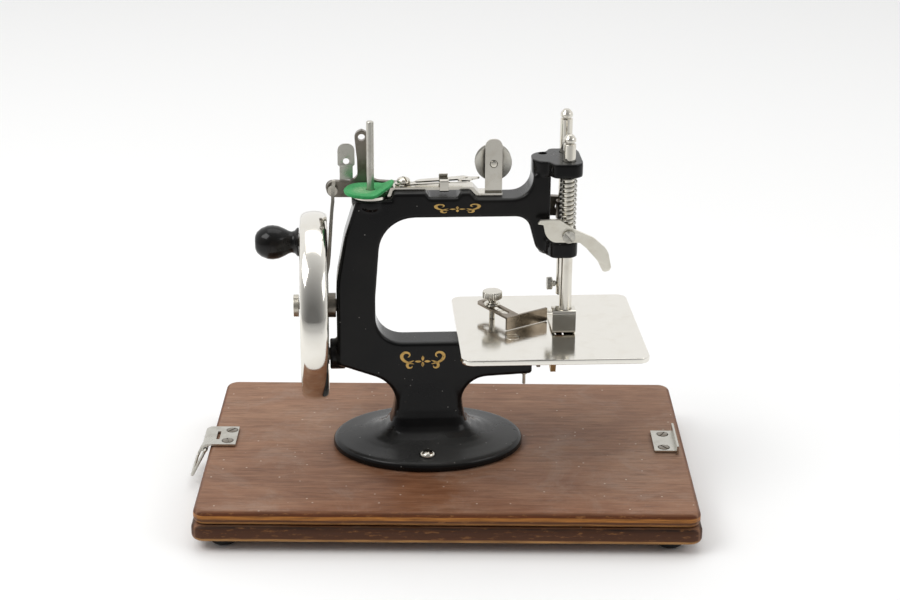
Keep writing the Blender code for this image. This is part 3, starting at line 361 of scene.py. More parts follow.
def turned(profile, closed=False, steps=24):
    """A solid turned on local Z; the profile of (radius, height) runs down its outer side."""
    mesh = bpy.data.meshes.new("turned")
    points = [(radius * MM, 0, height * MM) for radius, height in profile]
    edges = [(index, index + 1) for index in range(len(points) - 1)]
    if closed:
        edges.append((len(points) - 1, 0))
    mesh.from_pydata(points, edges, [])
    obj = mesh_object("turned", mesh)
    screw = obj.modifiers.new("Screw", "SCREW")
    screw.steps = steps * FINE
    screw.render_steps = steps * FINE
    screw.use_merge_vertices = True
    screw.merge_threshold = 0.00001
    screw.use_smooth_shade = True
    return obj


def rounded(corners, steps=3):
    """Points of a closed outline; each corner is (x, y) or (x, y, radius)."""
    points = []
    count = len(corners)
    for index, corner in enumerate(corners):
        here = Vector(corner[:2])
        radius = corner[2] if len(corner) > 2 else 0.0
        if radius == 0.0:
            points.append(tuple(here))
            continue
        back = (Vector(corners[index - 1][:2]) - here).normalized()
        ahead = (Vector(corners[(index + 1) % count][:2]) - here).normalized()
        half = back.angle(ahead) / 2
        reach = radius / math.tan(half)
        centre = here + (back + ahead).normalized() * (radius / math.sin(half))
        first = here + back * reach - centre
        sweep = first.angle_signed(here + ahead * reach - centre)
        for step in range(steps * FINE + 1):
            turn = -sweep * step / (steps * FINE)
            x = first.x * math.cos(turn) - first.y * math.sin(turn)
            y = first.x * math.sin(turn) + first.y * math.cos(turn)
            points.append((centre.x + x, centre.y + y))
    return points


def rectangle(left, right, low, high, radius, steps=3):
    """Points of a rectangle with rounded corners."""
    return rounded([(left, low, radius), (right, low, radius),
                    (right, high, radius), (left, high, radius)], steps)


def ring_of(centre, radius, sides=16):
    sides *= FINE
    return [(centre[0] + radius * math.cos(TURN * step / sides),
             centre[1] + radius * math.sin(TURN * step / sides)) for step in range(sides)]


def half_ring(centre, radius, start, steps=6):
    """Points of a half circle that begins at the angle start."""
    count = steps * FINE
    angles = [start + math.pi * step / count for step in range(count + 1)]
    return [(centre[0] + radius * math.cos(angle),
             centre[1] + radius * math.sin(angle)) for angle in angles]


def slot_of(start, end, radius, steps=6):
    """Outline of a slot with round ends."""
    along = Vector(end) - Vector(start)
    heading = math.atan2(along.y, along.x)
    return (half_ring(end, radius, heading - math.pi / 2, steps)
            + half_ring(start, radius, heading + math.pi / 2, steps))


def curve_to_mesh(name, dimensions, loops, cyclic, bevel_radius=0.0, extrude=0.0,
                  flat_caps=False):
    """Mesh of a straight-sided curve, its caps welded on and, if asked, left as one face."""
    curve = bpy.data.curves.new(name, "CURVE")
    curve.dimensions = dimensions
    if extrude:
        curve.fill_mode = "BOTH"
        curve.extrude = extrude
    if bevel_radius:
        curve.bevel_depth = bevel_radius
        curve.bevel_resolution = 5
        curve.use_fill_caps = True
    for loop in loops:
        spline = curve.splines.new("POLY")
        spline.points.add(len(loop) - 1)
        for point, place in zip(spline.points, loop):
            point.co = (*(value * MM for value in (*place, 0)[:3]), 1)
        spline.use_cyclic_u = cyclic
    curve_object = bpy.data.objects.new(name, curve)
    PARTS.objects.link(curve_object)
    graph = bpy.context.evaluated_depsgraph_get()
    mesh = bpy.data.meshes.new_from_object(curve_object.evaluated_get(graph))
    bpy.data.objects.remove(curve_object, do_unlink=True)
    shape = bmesh.new()
    shape.from_mesh(mesh)
    bmesh.ops.remove_doubles(shape, verts=shape.verts, dist=0.000001)
    if flat_caps:
        bmesh.ops.dissolve_limit(shape, angle_limit=math.radians(0.5), verts=shape.verts,
                                 edges=shape.edges)
    return shade(from_bmesh(shape, name))


def sheet(outline, thickness, holes=()):
    """A flat piece in local XY, centred on its thickness, with any holes."""
    return curve_to_mesh("outline", "2D", (outline, *holes), True, extrude=thickness / 2 * MM,
                         flat_caps=not holes)


def wire(points, radius, cyclic=False):
    """A round wire along points, with filled ends."""
    return curve_to_mesh("wire", "3D", (points,), cyclic, bevel_radius=radius * MM)


def loft(rings):
    """A closed body through rings that all have the same number of points."""
    shape = bmesh.new()
    rows = [[shape.verts.new(Vector(point) * MM) for point in ring] for ring in rings]
    for lower, upper in zip(rows, rows[1:]):
        for index in range(len(lower)):
            after = (index + 1) % len(lower)
            shape.faces.new((lower[index], lower[after], upper[after], upper[index]))
    shape.faces.new(list(reversed(rows[0])))
    shape.faces.new(rows[-1])
    bmesh.ops.recalc_face_normals(shape, faces=shape.faces)
    return shade(from_bmesh(shape, "loft"))


def helix(radius, low, high, turns, per_turn, top_radius=None):
    """Points of an even coil on Z, whose radius may taper to another at its top."""
    total = int(turns * per_turn * FINE)
    last_radius = radius if top_radius is None else top_radius
    points = []
    for step in range(total + 1):
        part = step / total
        angle = TURN * turns * part
        here = radius + (last_radius - radius) * part
        points.append((here * math.cos(angle), here * math.sin(angle), low + (high - low) * part))
    return points


# Rotations that carry a flat piece or a turned piece into the machine's axes
UPRIGHT = (math.pi / 2, 0, 0)                  # sheet's x, y -> machine X, Z; thickness on Y
CROSSWISE = (math.pi / 2, 0, math.pi / 2)      # sheet's x, y -> machine Y, Z; thickness on X
ALONG_X = (0, math.pi / 2, 0)                  # turned axis -> +X
ALONG_MINUS_X = (0, -math.pi / 2, 0)
ALONG_Y = (-math.pi / 2, 0, 0)
ALONG_MINUS_Y = (math.pi / 2, 0, 0)


def screw(node, parent, place, head, shank, rotation=(0, 0, 0), dome=0.0, turn=0.4):
    """A screw whose head's top is the origin; head and shank are (radius, length).  It has a
    driver slot unless turn is None."""
    head_radius, head_length = head
    shank_radius, shank_length = shank
    crown = dome or 0.25
    profile = [(0, 0)]
    for step in range(1, 9):
        angle = math.pi / 2 * step / 8
        out = head_radius * math.sin(angle) if dome else head_radius - 0.25 * (1 - math.sin(angle))
        profile.append((out, -crown * (1 - math.cos(angle))))
    profile += [(head_radius, -head_length), (shank_radius, -head_length),
                (shank_radius, -head_length - shank_length), (0, -head_length - shank_length)]
    obj = turned(profile, steps=16)
    if turn is not None:
        depth = crown * 0.5 + head_length * 0.3
        cut(obj, box((head_radius * 2.4, head_radius * 0.24, 2 * depth)), obj,
            rotation=(0, 0, turn))
    finish(obj, node, parent, place, rotation, edge=0.08)


def slab(half_x, half_y, height, edge=2.4):
    """A board with rounded corners and rounded long edges."""
    obj = sheet(rectangle(-half_x, half_x, -half_y, half_y, 6.0), height - GAP)
    return bevel(obj, edge, 8)


def make_board(board):
    half_x = BOARD_LENGTH / 2
    half_y = BOARD_DEPTH / 2
    upper = slab(half_x, half_y, UPPER_PLY)
    finish(upper, "upper_board", board, (0, 0, -UPPER_PLY / 2), edge=0)
    lower = slab(half_x + LOWER_OVERHANG, half_y + LOWER_OVERHANG, LOWER_PLY)
    finish(lower, "lower_board", board, (0, 0, -UPPER_PLY - LOWER_PLY / 2), edge=0)
    bottom = -FOOT_HEIGHT + GAP
    foot_profile = [(0, 0), (FOOT_RADIUS - 0.3, 0), (FOOT_RADIUS, -0.3), (FOOT_RADIUS, -1.2),
                    (FOOT_RADIUS - 0.3, -2.4), (FOOT_RADIUS - 1.0, -3.6),
                    (FOOT_RADIUS - 1.9, bottom + 0.4), (FOOT_RADIUS - 2.7, bottom),
                    (3.0, bottom), (2.4, bottom + 1.4), (0, bottom + 1.4)]
    number = 0
    for side_x in (-1, 1):
        for side_y in (-1, 1):
            number += 1
            foot = turned(foot_profile, steps=16)
            finish(foot, f"rubber_foot_{number}", board,
                   (side_x * (half_x - FOOT_INSET_X), side_y * (half_y - FOOT_INSET_Y),
                    FOOT_HEIGHT - GAP - BOARD_TOP), edge=0)


def hold_plate(plate, side, board, places, turn):
    """Screw a catch plate to the board."""
    for number, (x, y) in enumerate(places, 1):
        drill(plate, board, (x, y, 0), CATCH_SCREW_HEAD[0] + GAP, -4, 4)
        screw(f"catch_screw_{side}_{number}", board, (x, y, 1.5), CATCH_SCREW_HEAD, (1.2, 0.1),
              turn=turn * number)
    finish(plate, f"catch_plate_{side}", board)


def make_left_catch(board):
    """Hinge plate with two screws, and the wire bail that holds the cover down."""
    hinge_x, hinge_y, hinge_z = BAIL_HINGE
    width = 20.6
    inner = 12.0
    plate = box((inner, width, 1.0), (hinge_x + 2.6 + inner / 2, hinge_y, 0.8))
    cut(plate, box((1.6, 9.0, 4.0), (hinge_x + 5.4, hinge_y, 0.8)), board)
    knuckle = [(hinge_x + 3.2, 0.35), (hinge_x + 3.2, 1.3), (hinge_x + 0.6, 1.3, 1.2),
               (hinge_x - 1.9, 0.2, 1.2), (hinge_x - 1.9, hinge_z - 1.5, 1.2),
               (hinge_x + 0.9, hinge_z - 1.5, 0.6), (hinge_x + 0.9, 0.35)]
    fuse(plate, sheet(rounded(knuckle), width), board, (0, hinge_y, 0), UPRIGHT)
    drill(plate, board, BAIL_HINGE, BAIL_WIRE / 2 + GAP, -width, width, ALONG_Y)
    hold_plate(plate, "left", board, CATCH_SCREWS_LEFT, 0.9)

    bail_frame = new_empty("bail_axis", BAIL_HINGE, parent=board)
    bail_frame.rotation_euler = (0, BAIL_LEAN, 0)
    half = BAIL_WIDTH / 2 + 3.2
    loop = rectangle(-half, half, 0, -BAIL_LENGTH, 1.6)
    bail = wire([(0, y, z) for y, z in loop], BAIL_WIRE / 2, cyclic=True)
    finish(bail, "bail", bail_frame)


def make_right_catch(board):
    """Plate with an upright lip that the cover's tongue slides under."""
    plate = box((10.6, 23.0, 1.0), (105.9, 1.6, 0.8))
    fuse(plate, box((1.0, 27.0, 4.2), (111.6, 1.6, 2.4)), board)
    hold_plate(plate, "right", board, CATCH_SCREWS_RIGHT, 1.1)


def frame_outline():
    """Side view of the casting above its base, anticlockwise from the pedestal's left foot."""
    return rounded([
        (15.8, 12.3), (15.8, 36.6, 13.0), (49.7, 38.4), (49.7, 58.5), (16.0, 58.5),
        (14.5, LOWER_ARM_TOP), (-25.4, LOWER_ARM_TOP, 13.0), (-25.4, 78.0, 20.0),
        (-22.4, THROAT_TOP, 17.0), (45.8, THROAT_TOP, 7.0), (50.2, 101.6, 6.0),
        (54.6, 99.6, 2.4), (56.5, 99.6), (56.5, HEAD_TOP - HEAD_BLOCK + 0.6),
        (48.4, HEAD_TOP - HEAD_BLOCK + 0.6), (47.3, ARM_TOP, 9.5), (22.0, ARM_TOP),
        (19.2, PAD_TOP), (14.6, PAD_TOP), (12.8, 127.6), (0.4, 127.6), (-1.6, PAD_TOP),
        (-16.6, PAD_TOP), (-17.6, SPOOL_SEAT), (-34.0, SPOOL_SEAT), (-39.8, 108.0, 50.0),
        (-43.8, 86.0, 50.0), (-43.8, 44.4, 3.0), (-15.8, 34.4, 15.0), (-15.8, 12.3)])


def head_outline(left, right):
    """Top view of a head block: the column's width, then two lobes for the two bars."""
    side = [(left, -8.6, 6.5), (55.0, -8.6, 1.5), (57.4, -13.9, 3.4), (right, -13.9, 5.0)]
    return rounded(side + [(x, -y, radius) for x, y, radius in reversed(side)])


def oval(height, half_x, half_y, power, sides=144):
    """Superellipse ring: power 2 is an ellipse and a larger power is boxier."""
    ring = []
    for step in range(sides):
        angle = TURN * step / sides
        across = math.cos(angle)
        along = math.sin(angle)
        ring.append((half_x * math.copysign(abs(across) ** (2 / power), across),
                     half_y * math.copysign(abs(along) ** (2 / power), along), height))
    return ring


def joined(shells, name):
    """One object from several placed closed shells, in the machine's own axes."""
    shape = bmesh.new()
    for shell in shells:
        settle(shell)
        shell.data.transform(shell.matrix_basis)
        shape.from_mesh(shell.data)
        bpy.data.objects.remove(shell, do_unlink=True)
    return from_bmesh(shape, name)


def cast(obj, grain=0.5, passes=9):
    """One smooth casting from overlapping shells, with soft corners where they meet."""
    remesh = obj.modifiers.new("Remesh", "REMESH")
    remesh.mode = "VOXEL"
    remesh.voxel_size = grain * MM
    smooth = obj.modifiers.new("Smooth", "SMOOTH")
    smooth.factor = 0.5
    smooth.iterations = passes
    settle(obj)


def make_frame(machine):
    arm = sheet(frame_outline(), ARM_DEPTH)
    bevel(arm, 2.0, 5, 80)
    half_x, half_y = BASE_HALF
    # height, half length, half depth and power of each ring from the rim up to the pedestal
    rings = ((GAP, half_x, half_y, 2.0), (2.6, half_x, half_y, 2.0),
             (3.8, half_x - 0.6, half_y - 0.6, 2.0), (4.6, half_x - 1.9, half_y - 1.9, 2.0),
             (5.1, 38.5, 28.0, 2.1), (5.7, 33.0, 23.0, 2.3), (6.7, 28.0, 18.8, 2.6),
             (8.2, 24.0, 15.6, 3.0), (10.4, 20.8, 12.6, 3.7), (13.4, 18.4, 10.8, 4.5),
             (17.0, 17.2, 9.9, 5.0), (21.0, 16.6, 9.2, 5.5), (26.0, 16.2, 8.7, 5.5),
             (31.0, 15.8, 8.3, 5.5), (36.0, 15.0, 7.9, 5.5), (40.0, 13.0, 7.2, 5.0))
    foot = loft([oval(*ring) for ring in rings])
    top_block = sheet(head_outline(47.8, 71.0), HEAD_BLOCK)
    low, high = LOWER_BLOCK
    low_block = sheet(head_outline(51.6, 69.5), high - low)
    lug = box((14.0, 43.0, 4.1), (38.6, 3.6, 56.25))
    shells = [at(arm, None, rotation=UPRIGHT), foot, lug,
              at(top_block, None, (0, 0, HEAD_TOP - HEAD_BLOCK / 2)),
              at(low_block, None, (0, 0, (high + low) / 2)),
              at(turned([(0, SPOOL_SEAT), (8.9, SPOOL_SEAT), (8.9, 123.6), (8.4, 122.2),
                        (7.2, 121.4), (0, 121.0)]), None, (*SPOOL, 0)),
              at(rod(7.4, -47.2, -40.0, 24), None, (0, 0, SHAFT_Z), ALONG_X),
              at(rod(7.2, 44.0, 49.95, 24), None, (0, 0, SHAFT_Z), ALONG_X)]
    body = joined(shells, "casting")
    cast(body)
    finish(body, "machine_frame", machine, edge=0)
    pivot_x, pivot_z = LEVER_PIVOT
    down = (0, 0, 0)
    shaft_bore = SHAFT_RADIUS + GAP
    holes = [((0, 0, WHEEL_Z), shaft_bore, -50, -30, ALONG_X),
             ((0, 0, SHAFT_Z), shaft_bore, -52, 52, ALONG_X),
             ((BAR_X, BAR_Y, 0), BAR_RADIUS + GAP, 90, 150, down),
             ((BAR_X, -BAR_Y, 0), BAR_RADIUS + GAP, 90, 150, down),
             ((53.6, 5.6, 0), 2.1, 138, 150, down),
             ((*SPOOL, 0), SPOOL_PIN_RADIUS + GAP, 116, 130, down),
             ((DOME_SCREW_X, 0, 0), PIN_TAP, 124, 132, down),
             ((pivot_x, 0, pivot_z), 2.3, 1, 12, ALONG_Y)]
    holes += [((*place, 0), PIN_TAP, 50, 62, down) for place in PLATE_SCREWS]
    holes += [((STOP_PIN_X, 0, 0), 1.1, 30, 43.0, down)]
    holes += [((*place, 0), 4.1, 5.0, 14, down) for place in BASE_SCREWS]
    holes += [((*place, 0), 2.0, -2, 8, down) for place in BASE_SCREWS]
    for hole in holes:
        drill(body, machine, *hole, sides=12, solver="MANIFOLD")
    for number, place in enumerate(BASE_SCREWS, 1):
        screw(f"base_screw_{number}", machine, (*place, 8.0), (3.6, 2.7), (1.6, 4.6),
              dome=2.2, turn=None)


def wheel_profile():
    """Cup-shaped section: a crowned rim, a web on the outer side and a hub."""
    left, right = WHEEL_X
    middle = (left + right) / 2
    half = (right - left) / 2
    edge = WHEEL_RADIUS - 3.6
    # local height runs along +X; the rim's outer side is followed from right to left
    rim = []
    for step in range(25):
        angle = math.pi * (0.06 + 0.88 * step / 24)
        rim.append((edge + 3.6 * math.sin(angle) ** 0.7, middle + half * math.cos(angle)))
    inner = [(35.0, left + 1.6), (33.0, left + 2.2), (10.0, left + 2.2), (8.6, left + 0.2),
             (STUD_RADIUS + GAP, left + 0.2), (STUD_RADIUS + GAP, -50.0), (6.5, -50.0),
             (6.5, GEAR_X[0] - 0.9), (38.8, GEAR_X[0] - 0.9), (40.2, GEAR_X[0] + 0.6),
             (40.7, right - 0.2)]
    return rim + inner


def make_wheel(machine):
    axis = new_empty("wheel_axis", (0, 0, WHEEL_Z), parent=machine)
    wheel = turned(wheel_profile(), closed=True, steps=36)
    knob_z = KNOB_RADIUS_ON_WHEEL
    drill(wheel, axis, (0, 0, knob_z), 2.3, -66, -52, ALONG_X)
    finish(wheel, "handwheel", axis, rotation=ALONG_X)

    stud = turned([(0, -32.6), (3.0, -32.6), (3.0, -44.1), (5.85, -44.1), (5.85, -47.9),
                   (STUD_RADIUS, -47.9), (STUD_RADIUS, -61.3), (0, -61.3)], steps=20)
    finish(stud, "wheel_stud", axis, rotation=ALONG_X)
    drill(stud, axis, (0, 0, 0), 2.1, -62, -52, ALONG_X)
    screw("stud_screw", axis, (-64.2, 0, 0), (5.3, 2.5), (1.8, 6.5), ALONG_MINUS_X, turn=0.5)

    knob_axis = new_empty("knob_axis", (0, 0, knob_z), parent=axis)
    # local height runs along -X, so the flange is at the bottom of the profile
    grip = ((0, 0), (3.2, 0.1), (5.0, 1.0), (6.7, 3.0), (7.9, 6.0), (8.1, 8.4), (7.7, 11.0),
            (6.6, 13.6), (5.4, 15.8), (5.0, 17.2), (5.4, 18.6), (6.6, 19.6), (6.8, 20.0))
    bore_end = KNOB_END - 7.0
    knob = turned([(radius, KNOB_END - depth) for radius, depth in grip]
                  + [(6.8, -KNOB_X), (2.6, -KNOB_X), (2.6, bore_end), (0, bore_end)])
    finish(knob, "crank_knob", knob_axis, rotation=ALONG_MINUS_X)
    spindle = turned([(0, bore_end - 1.0), (2.2, bore_end - 1.0), (2.2, 60.7), (1.9, 60.7),
                      (1.9, 57.0), (3.2, 57.0), (3.2, 56.7), (0, 56.7)], steps=16)
    finish(spindle, "crank_spindle", knob_axis, rotation=ALONG_MINUS_X)


def make_looper_shaft(machine):
    axis = new_empty("shaft_axis", (0, 0, SHAFT_Z), parent=machine)
    shaft = turned([(0, 63.2), (SHAFT_RADIUS, 63.2), (SHAFT_RADIUS, -47.6), (5.0, -47.6),
                    (5.0, -52.9), (SHAFT_RADIUS, -52.9), (SHAFT_RADIUS, -57.0), (0, -57.0)],
                   steps=18)
    finish(shaft, "looper_shaft", axis, rotation=ALONG_X)

    hook = []
    for step in range(25):
        part = step / 24
        angle = -math.pi / 2 - 0.25 + math.radians(300) * part
        reach = 10.7 - 6.0 * part ** 0.8
        hook.append((reach * math.cos(angle), reach * math.sin(angle)))
    looper = sheet(hook, 2.6, [ring_of((0, 0), SHAFT_RADIUS + GAP)])
    finish(looper, "looper", axis, (60.4, 0, 0), CROSSWISE)
    cam = sheet(ring_of((0.0, 0.9), 6.1, 28), 4.2, [ring_of((0, 0), SHAFT_RADIUS + GAP)])
    finish(cam, "feed_cam", axis, (52.6, 0, 0), CROSSWISE)


def make_feed(machine):
    """Feed bar under the plate: a fork astride the cam, and a toothed tongue in the slot."""
    fork = sheet([(-10.4, 43.0), (-8.2, 43.0), (-8.2, 55.2), (8.2, 55.2), (8.2, 43.0),
                  (10.4, 43.0), (10.4, 57.4), (-10.4, 57.4)], 1.8)
    finish(fork, "feed_dog", machine, (52.4, 0, 0), CROSSWISE)
    fuse(fork, box((12.2, 1.8, 2.2), (57.4, -9.5, 56.3)), machine)
    fuse(fork, box((3.0, 1.8, 4.0), (62.0, -9.5, 57.4)), machine)
    tongue = [(-10.4, 58.9), (4.0, 58.9), (4.0, 59.7)]
    for tooth in range(9):
        y = 4.0 - 1.6 * tooth
        tongue += [(y - 0.8, 59.35), (y - 1.6, 59.7)]
    fuse(fork, sheet(tongue, 3.0), machine, (62.0, 0, 0), CROSSWISE)
    pin = turned([(0, 41.0), (0.8, 41.0), (0.8, 37.9), (1.5, 37.9), (1.5, 35.4), (0.75, 35.2),
                  (0.75, 30.2), (0, 29.8)], steps=12)
    finish(pin, "feed_stop_pin", machine, (STOP_PIN_X, 0, 0))


def make_plate(machine):
    left, right = PLATE_X
    plate = sheet(rectangle(left, right, -PLATE_HALF_Y, PLATE_HALF_Y, 5.0), PLATE_RIM)
    bevel(plate, 0.6, 2, 50)
    inset = PLATE_SHEET
    pocket = sheet(rectangle(left + inset, right - inset, -PLATE_HALF_Y + inset,
                             PLATE_HALF_Y - inset, 3.8), 4.0)
    cut(plate, pocket, machine, (0, 0, PLATE_TOP - PLATE_SHEET - 2.0))
    feed_slot = sheet(rectangle(60.0, 64.0, -11.6, 5.4, 0.5, 2), 6.0)
    cut(plate, feed_slot, machine, (0, 0, PLATE_TOP))
    for place, radius in ((NEEDLE_HOLE, 1.5), (GUIDE_PIVOT, 1.3)):
        drill(plate, machine, (*place, PLATE_TOP), radius, -3, 3)
    for number, place in enumerate(PLATE_SCREWS, 1):
        drill(plate, machine, (*place, PLATE_TOP), PLATE_SCREW_HEAD[0] + GAP, -3, 3, sides=20)
        screw(f"plate_screw_{number}", machine, (*place, PLATE_TOP), PLATE_SCREW_HEAD,
              (1.6, 6.0), turn=0.2)
    finish(plate, "cloth_plate", machine, (0, 0, PLATE_TOP - PLATE_RIM / 2))


def make_guide(machine):
    """Edge guide: a slotted strip under the thumbscrew, turned down into a fence."""
    axis = new_empty("guide_axis", (*GUIDE_PIVOT, 0), GUIDE_TURN, machine)
    strip_low = 65.9
    strip_high = 66.9
    strip = sheet(rounded([(-3.8, -17.6, 0.4), (3.8, -17.6, 0.4), (3.8, 9.0, 3.0),
                           (-3.8, 9.0, 3.0)]), strip_high - strip_low,
                  [slot_of((0, -11.0), (0, 5.0), 1.9)])
    finish(strip, "cloth_guide", axis, (0, 0, (strip_high + strip_low) / 2))
    fuse(strip, box((24.0, 1.2, 6.5), (8.2, -17.0, 63.65)), axis)

    washer = turned([(1.75, 68.2), (3.9, 68.2), (3.9, 67.2), (1.75, 67.2)], closed=True, steps=16)
    finish(washer, "guide_washer", axis)
    thumb = turned([(0, 74.4), (4.2, 74.4), (4.8, 74.0), (4.8, 71.0), (4.2, 70.6), (2.3, 70.4),
                    (2.1, 69.2), (2.9, 68.5), (1.45, 68.5), (1.45, 60.4), (1.0, 60.4), (1.0, 59.0),
                    (0, 59.0)], steps=48)
    ridged(thumb, 3.4, 70.8, 74.2, 30, 0.35)
    finish(thumb, "guide_thumbscrew", machine, (*GUIDE_PIVOT, 0))


def bar_profile(top, bottom):
    """A bar with a domed end and a groove below it."""
    end = ((0, 0), (1.4, 0.3), (2.1, 1.1), (BAR_RADIUS, 2.2), (BAR_RADIUS, 3.6), (2.0, 3.9),
           (2.0, 4.5), (BAR_RADIUS, 4.8))
    return [(radius, top - depth) for radius, depth in end] + [(BAR_RADIUS, bottom), (0, bottom)]


def collar_on_bar(radius, low, high):
    bore = BAR_RADIUS + GAP
    return turned([(bore, high), (radius, high), (radius, low), (bore, low)], closed=True,
                  steps=20)


def make_presser(machine):
    bar_frame = new_empty("presser_axis", (BAR_X, -BAR_Y, 0), parent=machine)
    finish(turned(bar_profile(PRESSER_TOP, 62.6), steps=18), "presser_bar", bar_frame)
    low, high = COLLAR_Z
    collar = collar_on_bar(4.1, low, high)
    drill(collar, bar_frame, (0, 0, LIFTER_PIVOT[1]), 1.5, 0, 8, ALONG_MINUS_Y)
    finish(collar, "presser_collar", bar_frame)

    top = HEAD_TOP - HEAD_BLOCK
    spring = wire(helix(3.65, high + 0.65, top - 0.65, 11, 7), 0.42)
    finish(spring, "presser_spring", bar_frame)

    foot_side = rounded([(-11.6, 60.4, 2.0), (12.6, 60.4, 1.5), (15.0, 62.2, 0.4),
                         (14.4, 63.2, 0.4), (12.0, 61.6, 1.0), (-10.5, 61.6, 0.8),
                         (-10.5, 70.9, 0.4), (-4.2, 70.9, 0.4), (-4.2, 72.1, 0.4),
                         (-11.6, 72.1, 1.6)], 3)
    foot = sheet(foot_side, 11.0)
    finish(foot, "presser_foot", machine, (BAR_X - 0.7, 0, 0), CROSSWISE)
    drill(foot, machine, (BAR_X, -BAR_Y, 0), BAR_RADIUS + GAP, 68, 75, sides=20)
    drill(foot, machine, (*NEEDLE_HOLE, 0), 1.6, 58, 64)


def lifter_outline():
    """The cam edge is an involute from flat contact round to the left; the rest is the handle."""
    pivot = Vector(LIFTER_PIVOT)
    cam = []
    for step in range(9):
        turned_by = math.radians(66) * step / 8
        normal_angle = -math.pi / 2 - turned_by
        normal = Vector((math.cos(normal_angle), math.sin(normal_angle)))
        tangent = Vector((normal.y, -normal.x))
        support = LIFTER_BASE + LIFTER_RISE * turned_by
        cam.append(tuple(pivot + normal * support + tangent * LIFTER_RISE))
    crown = rounded([(52.7, 115.9, 0.4), (50.0, 116.4, 0.3), (51.3, 118.2, 1.2),
                     (60.0, 118.6, 5.0), (67.0, 113.6, 8.0), (76.5, 109.2, 10.0),
                     (83.4, 103.0, 8.0), (85.4, 93.2, 2.0), (81.4, 92.2, 1.6),
                     (78.6, 98.0, 10.0), (73.0, 104.4, 8.0), (69.9, 107.0)], 4)
    return crown + cam


def make_lifter(machine):
    axis = new_empty("lifter_axis", (LIFTER_PIVOT[0], LIFTER_Y, LIFTER_PIVOT[1]), parent=machine)
    outline = [(x - LIFTER_PIVOT[0], z - LIFTER_PIVOT[1]) for x, z in lifter_outline()]
    lever = sheet(outline, 1.6, [ring_of((0, 0), 1.5 + GAP)])
    finish(lever, "lifting_lever", axis, rotation=UPRIGHT)
    screw("lifting_screw", axis, (0, -2.5, 0), (3.0, 1.5), (1.2, 3.3), ALONG_MINUS_Y, turn=-0.87)


def make_needle_bar(machine):
    frame = new_empty("needle_axis", (BAR_X, BAR_Y, 0), parent=machine)
    bar = turned(bar_profile(NEEDLE_TOP, 74.0), steps=18)
    drill(bar, frame, (0, 0, 0), 1.1, 70, 83)
    drill(bar, frame, (0, 0, CLAMP_Z), 1.2, -6, 0, ALONG_X)
    finish(bar, "needle_bar", frame)

    collar = collar_on_bar(3.9, 112.6, 121.0)
    fuse(collar, rod(1.5, 3.2, 8.0, 16), frame, (0, 0, LEVER_RIGHT[1]), ALONG_Y)
    finish(collar, "needle_bar_collar", frame)

    needle = turned([(0, 82.5), (0.8, 82.5), (0.8, 70.0), (0.5, 68.0), (0.5, 54.0), (0.12, 51.0),
                     (0, 51.0)], steps=16)
    finish(needle, "needle", frame)
    clamp = turned([(0, 7.4), (2.8, 7.4), (3.1, 7.1), (3.1, 5.0), (2.8, 4.7), (1.5, 4.5),
                    (1.5, 3.2), (0.9, 3.2), (0.9, 1.2), (0, 1.2)], steps=48)
    ridged(clamp, 2.9, 4.8, 7.3, 24, 0.3)
    finish(clamp, "needle_clamp_screw", frame, (0, 0, CLAMP_Z), ALONG_MINUS_X)


def make_lever(machine):
    pivot_x, pivot_z = LEVER_PIVOT
    axis = new_empty("lever_axis", (pivot_x, LEVER_Y, pivot_z), parent=machine)
    corners = [(-47.8, 122.6, 3.9), (-30.0, 122.4, 4.0), (-12.0, 117.9, 14.0),
               (40.0, 115.0, 20.0), (57.0, 112.2, 4.0), (69.6, 111.9, 2.0),
               (69.6, 121.2, 2.0), (57.0, 121.9, 4.0), (36.0, 122.6, 10.0), (-12.0, 129.4, 20.0),
               (-26.6, 130.6, 5.0), (-28.5, 141.0, 12.0), (-27.4, 155.0, 3.5),
               (-34.6, 155.0, 3.5), (-33.2, 141.0, 12.0), (-33.0, 132.6, 3.0),
               (-36.4, 130.0, 2.0), (-47.8, 130.6, 3.9)]
    outline = [(x - pivot_x, z - pivot_z) for x, z in rounded(corners)]
    slot_z = LEVER_RIGHT[1] - pivot_z
    holes = [ring_of((0, 0), 2.5 + GAP), ring_of((-31.0 - pivot_x, 151.6 - pivot_z), 1.7, 14),
             slot_of((62.7 - pivot_x, slot_z), (66.7 - pivot_x, slot_z), 1.5 + GAP),
             ring_of((LEVER_LEFT[0] - pivot_x, LEVER_LEFT[1] - pivot_z), 1.5 + GAP, 14)]
    lever = sheet(outline, LEVER_THICKNESS, holes)
    finish(lever, "needle_lever", axis, rotation=UPRIGHT)
    screw("link_screw", axis, (LEVER_LEFT[0] - pivot_x, 4.0, LEVER_LEFT[1] - pivot_z),
          (3.3, 2.2), (1.45, 6.2), ALONG_Y, dome=1.4, turn=0.6)
    screw("lever_pivot_screw", axis, (0, 4.1, 0), (4.6, 2.2), (1.9, 12.6), ALONG_Y, turn=0.7)

    tab = sheet(rounded([(-3.1, 0.0), (3.1, 0.0), (3.1, 6.6, 0.3), (4.0, 7.4, 0.3),
                         (4.0, 17.6, 3.4), (-4.0, 17.6, 3.4), (-4.0, 7.4, 0.3),
                         (-3.1, 6.6, 0.3)]), 0.9, [ring_of((0, 9.1), 1.5, 14)])
    eyelet_x, eyelet_z = EYELET[0] - pivot_x, EYELET[1] - pivot_z
    finish(tab, "thread_eyelet", axis, (eyelet_x, 0.5, eyelet_z), UPRIGHT)
    fuse(tab, box((6.2, 3.6, 0.9), (eyelet_x, 2.0, eyelet_z + 0.45)), axis)


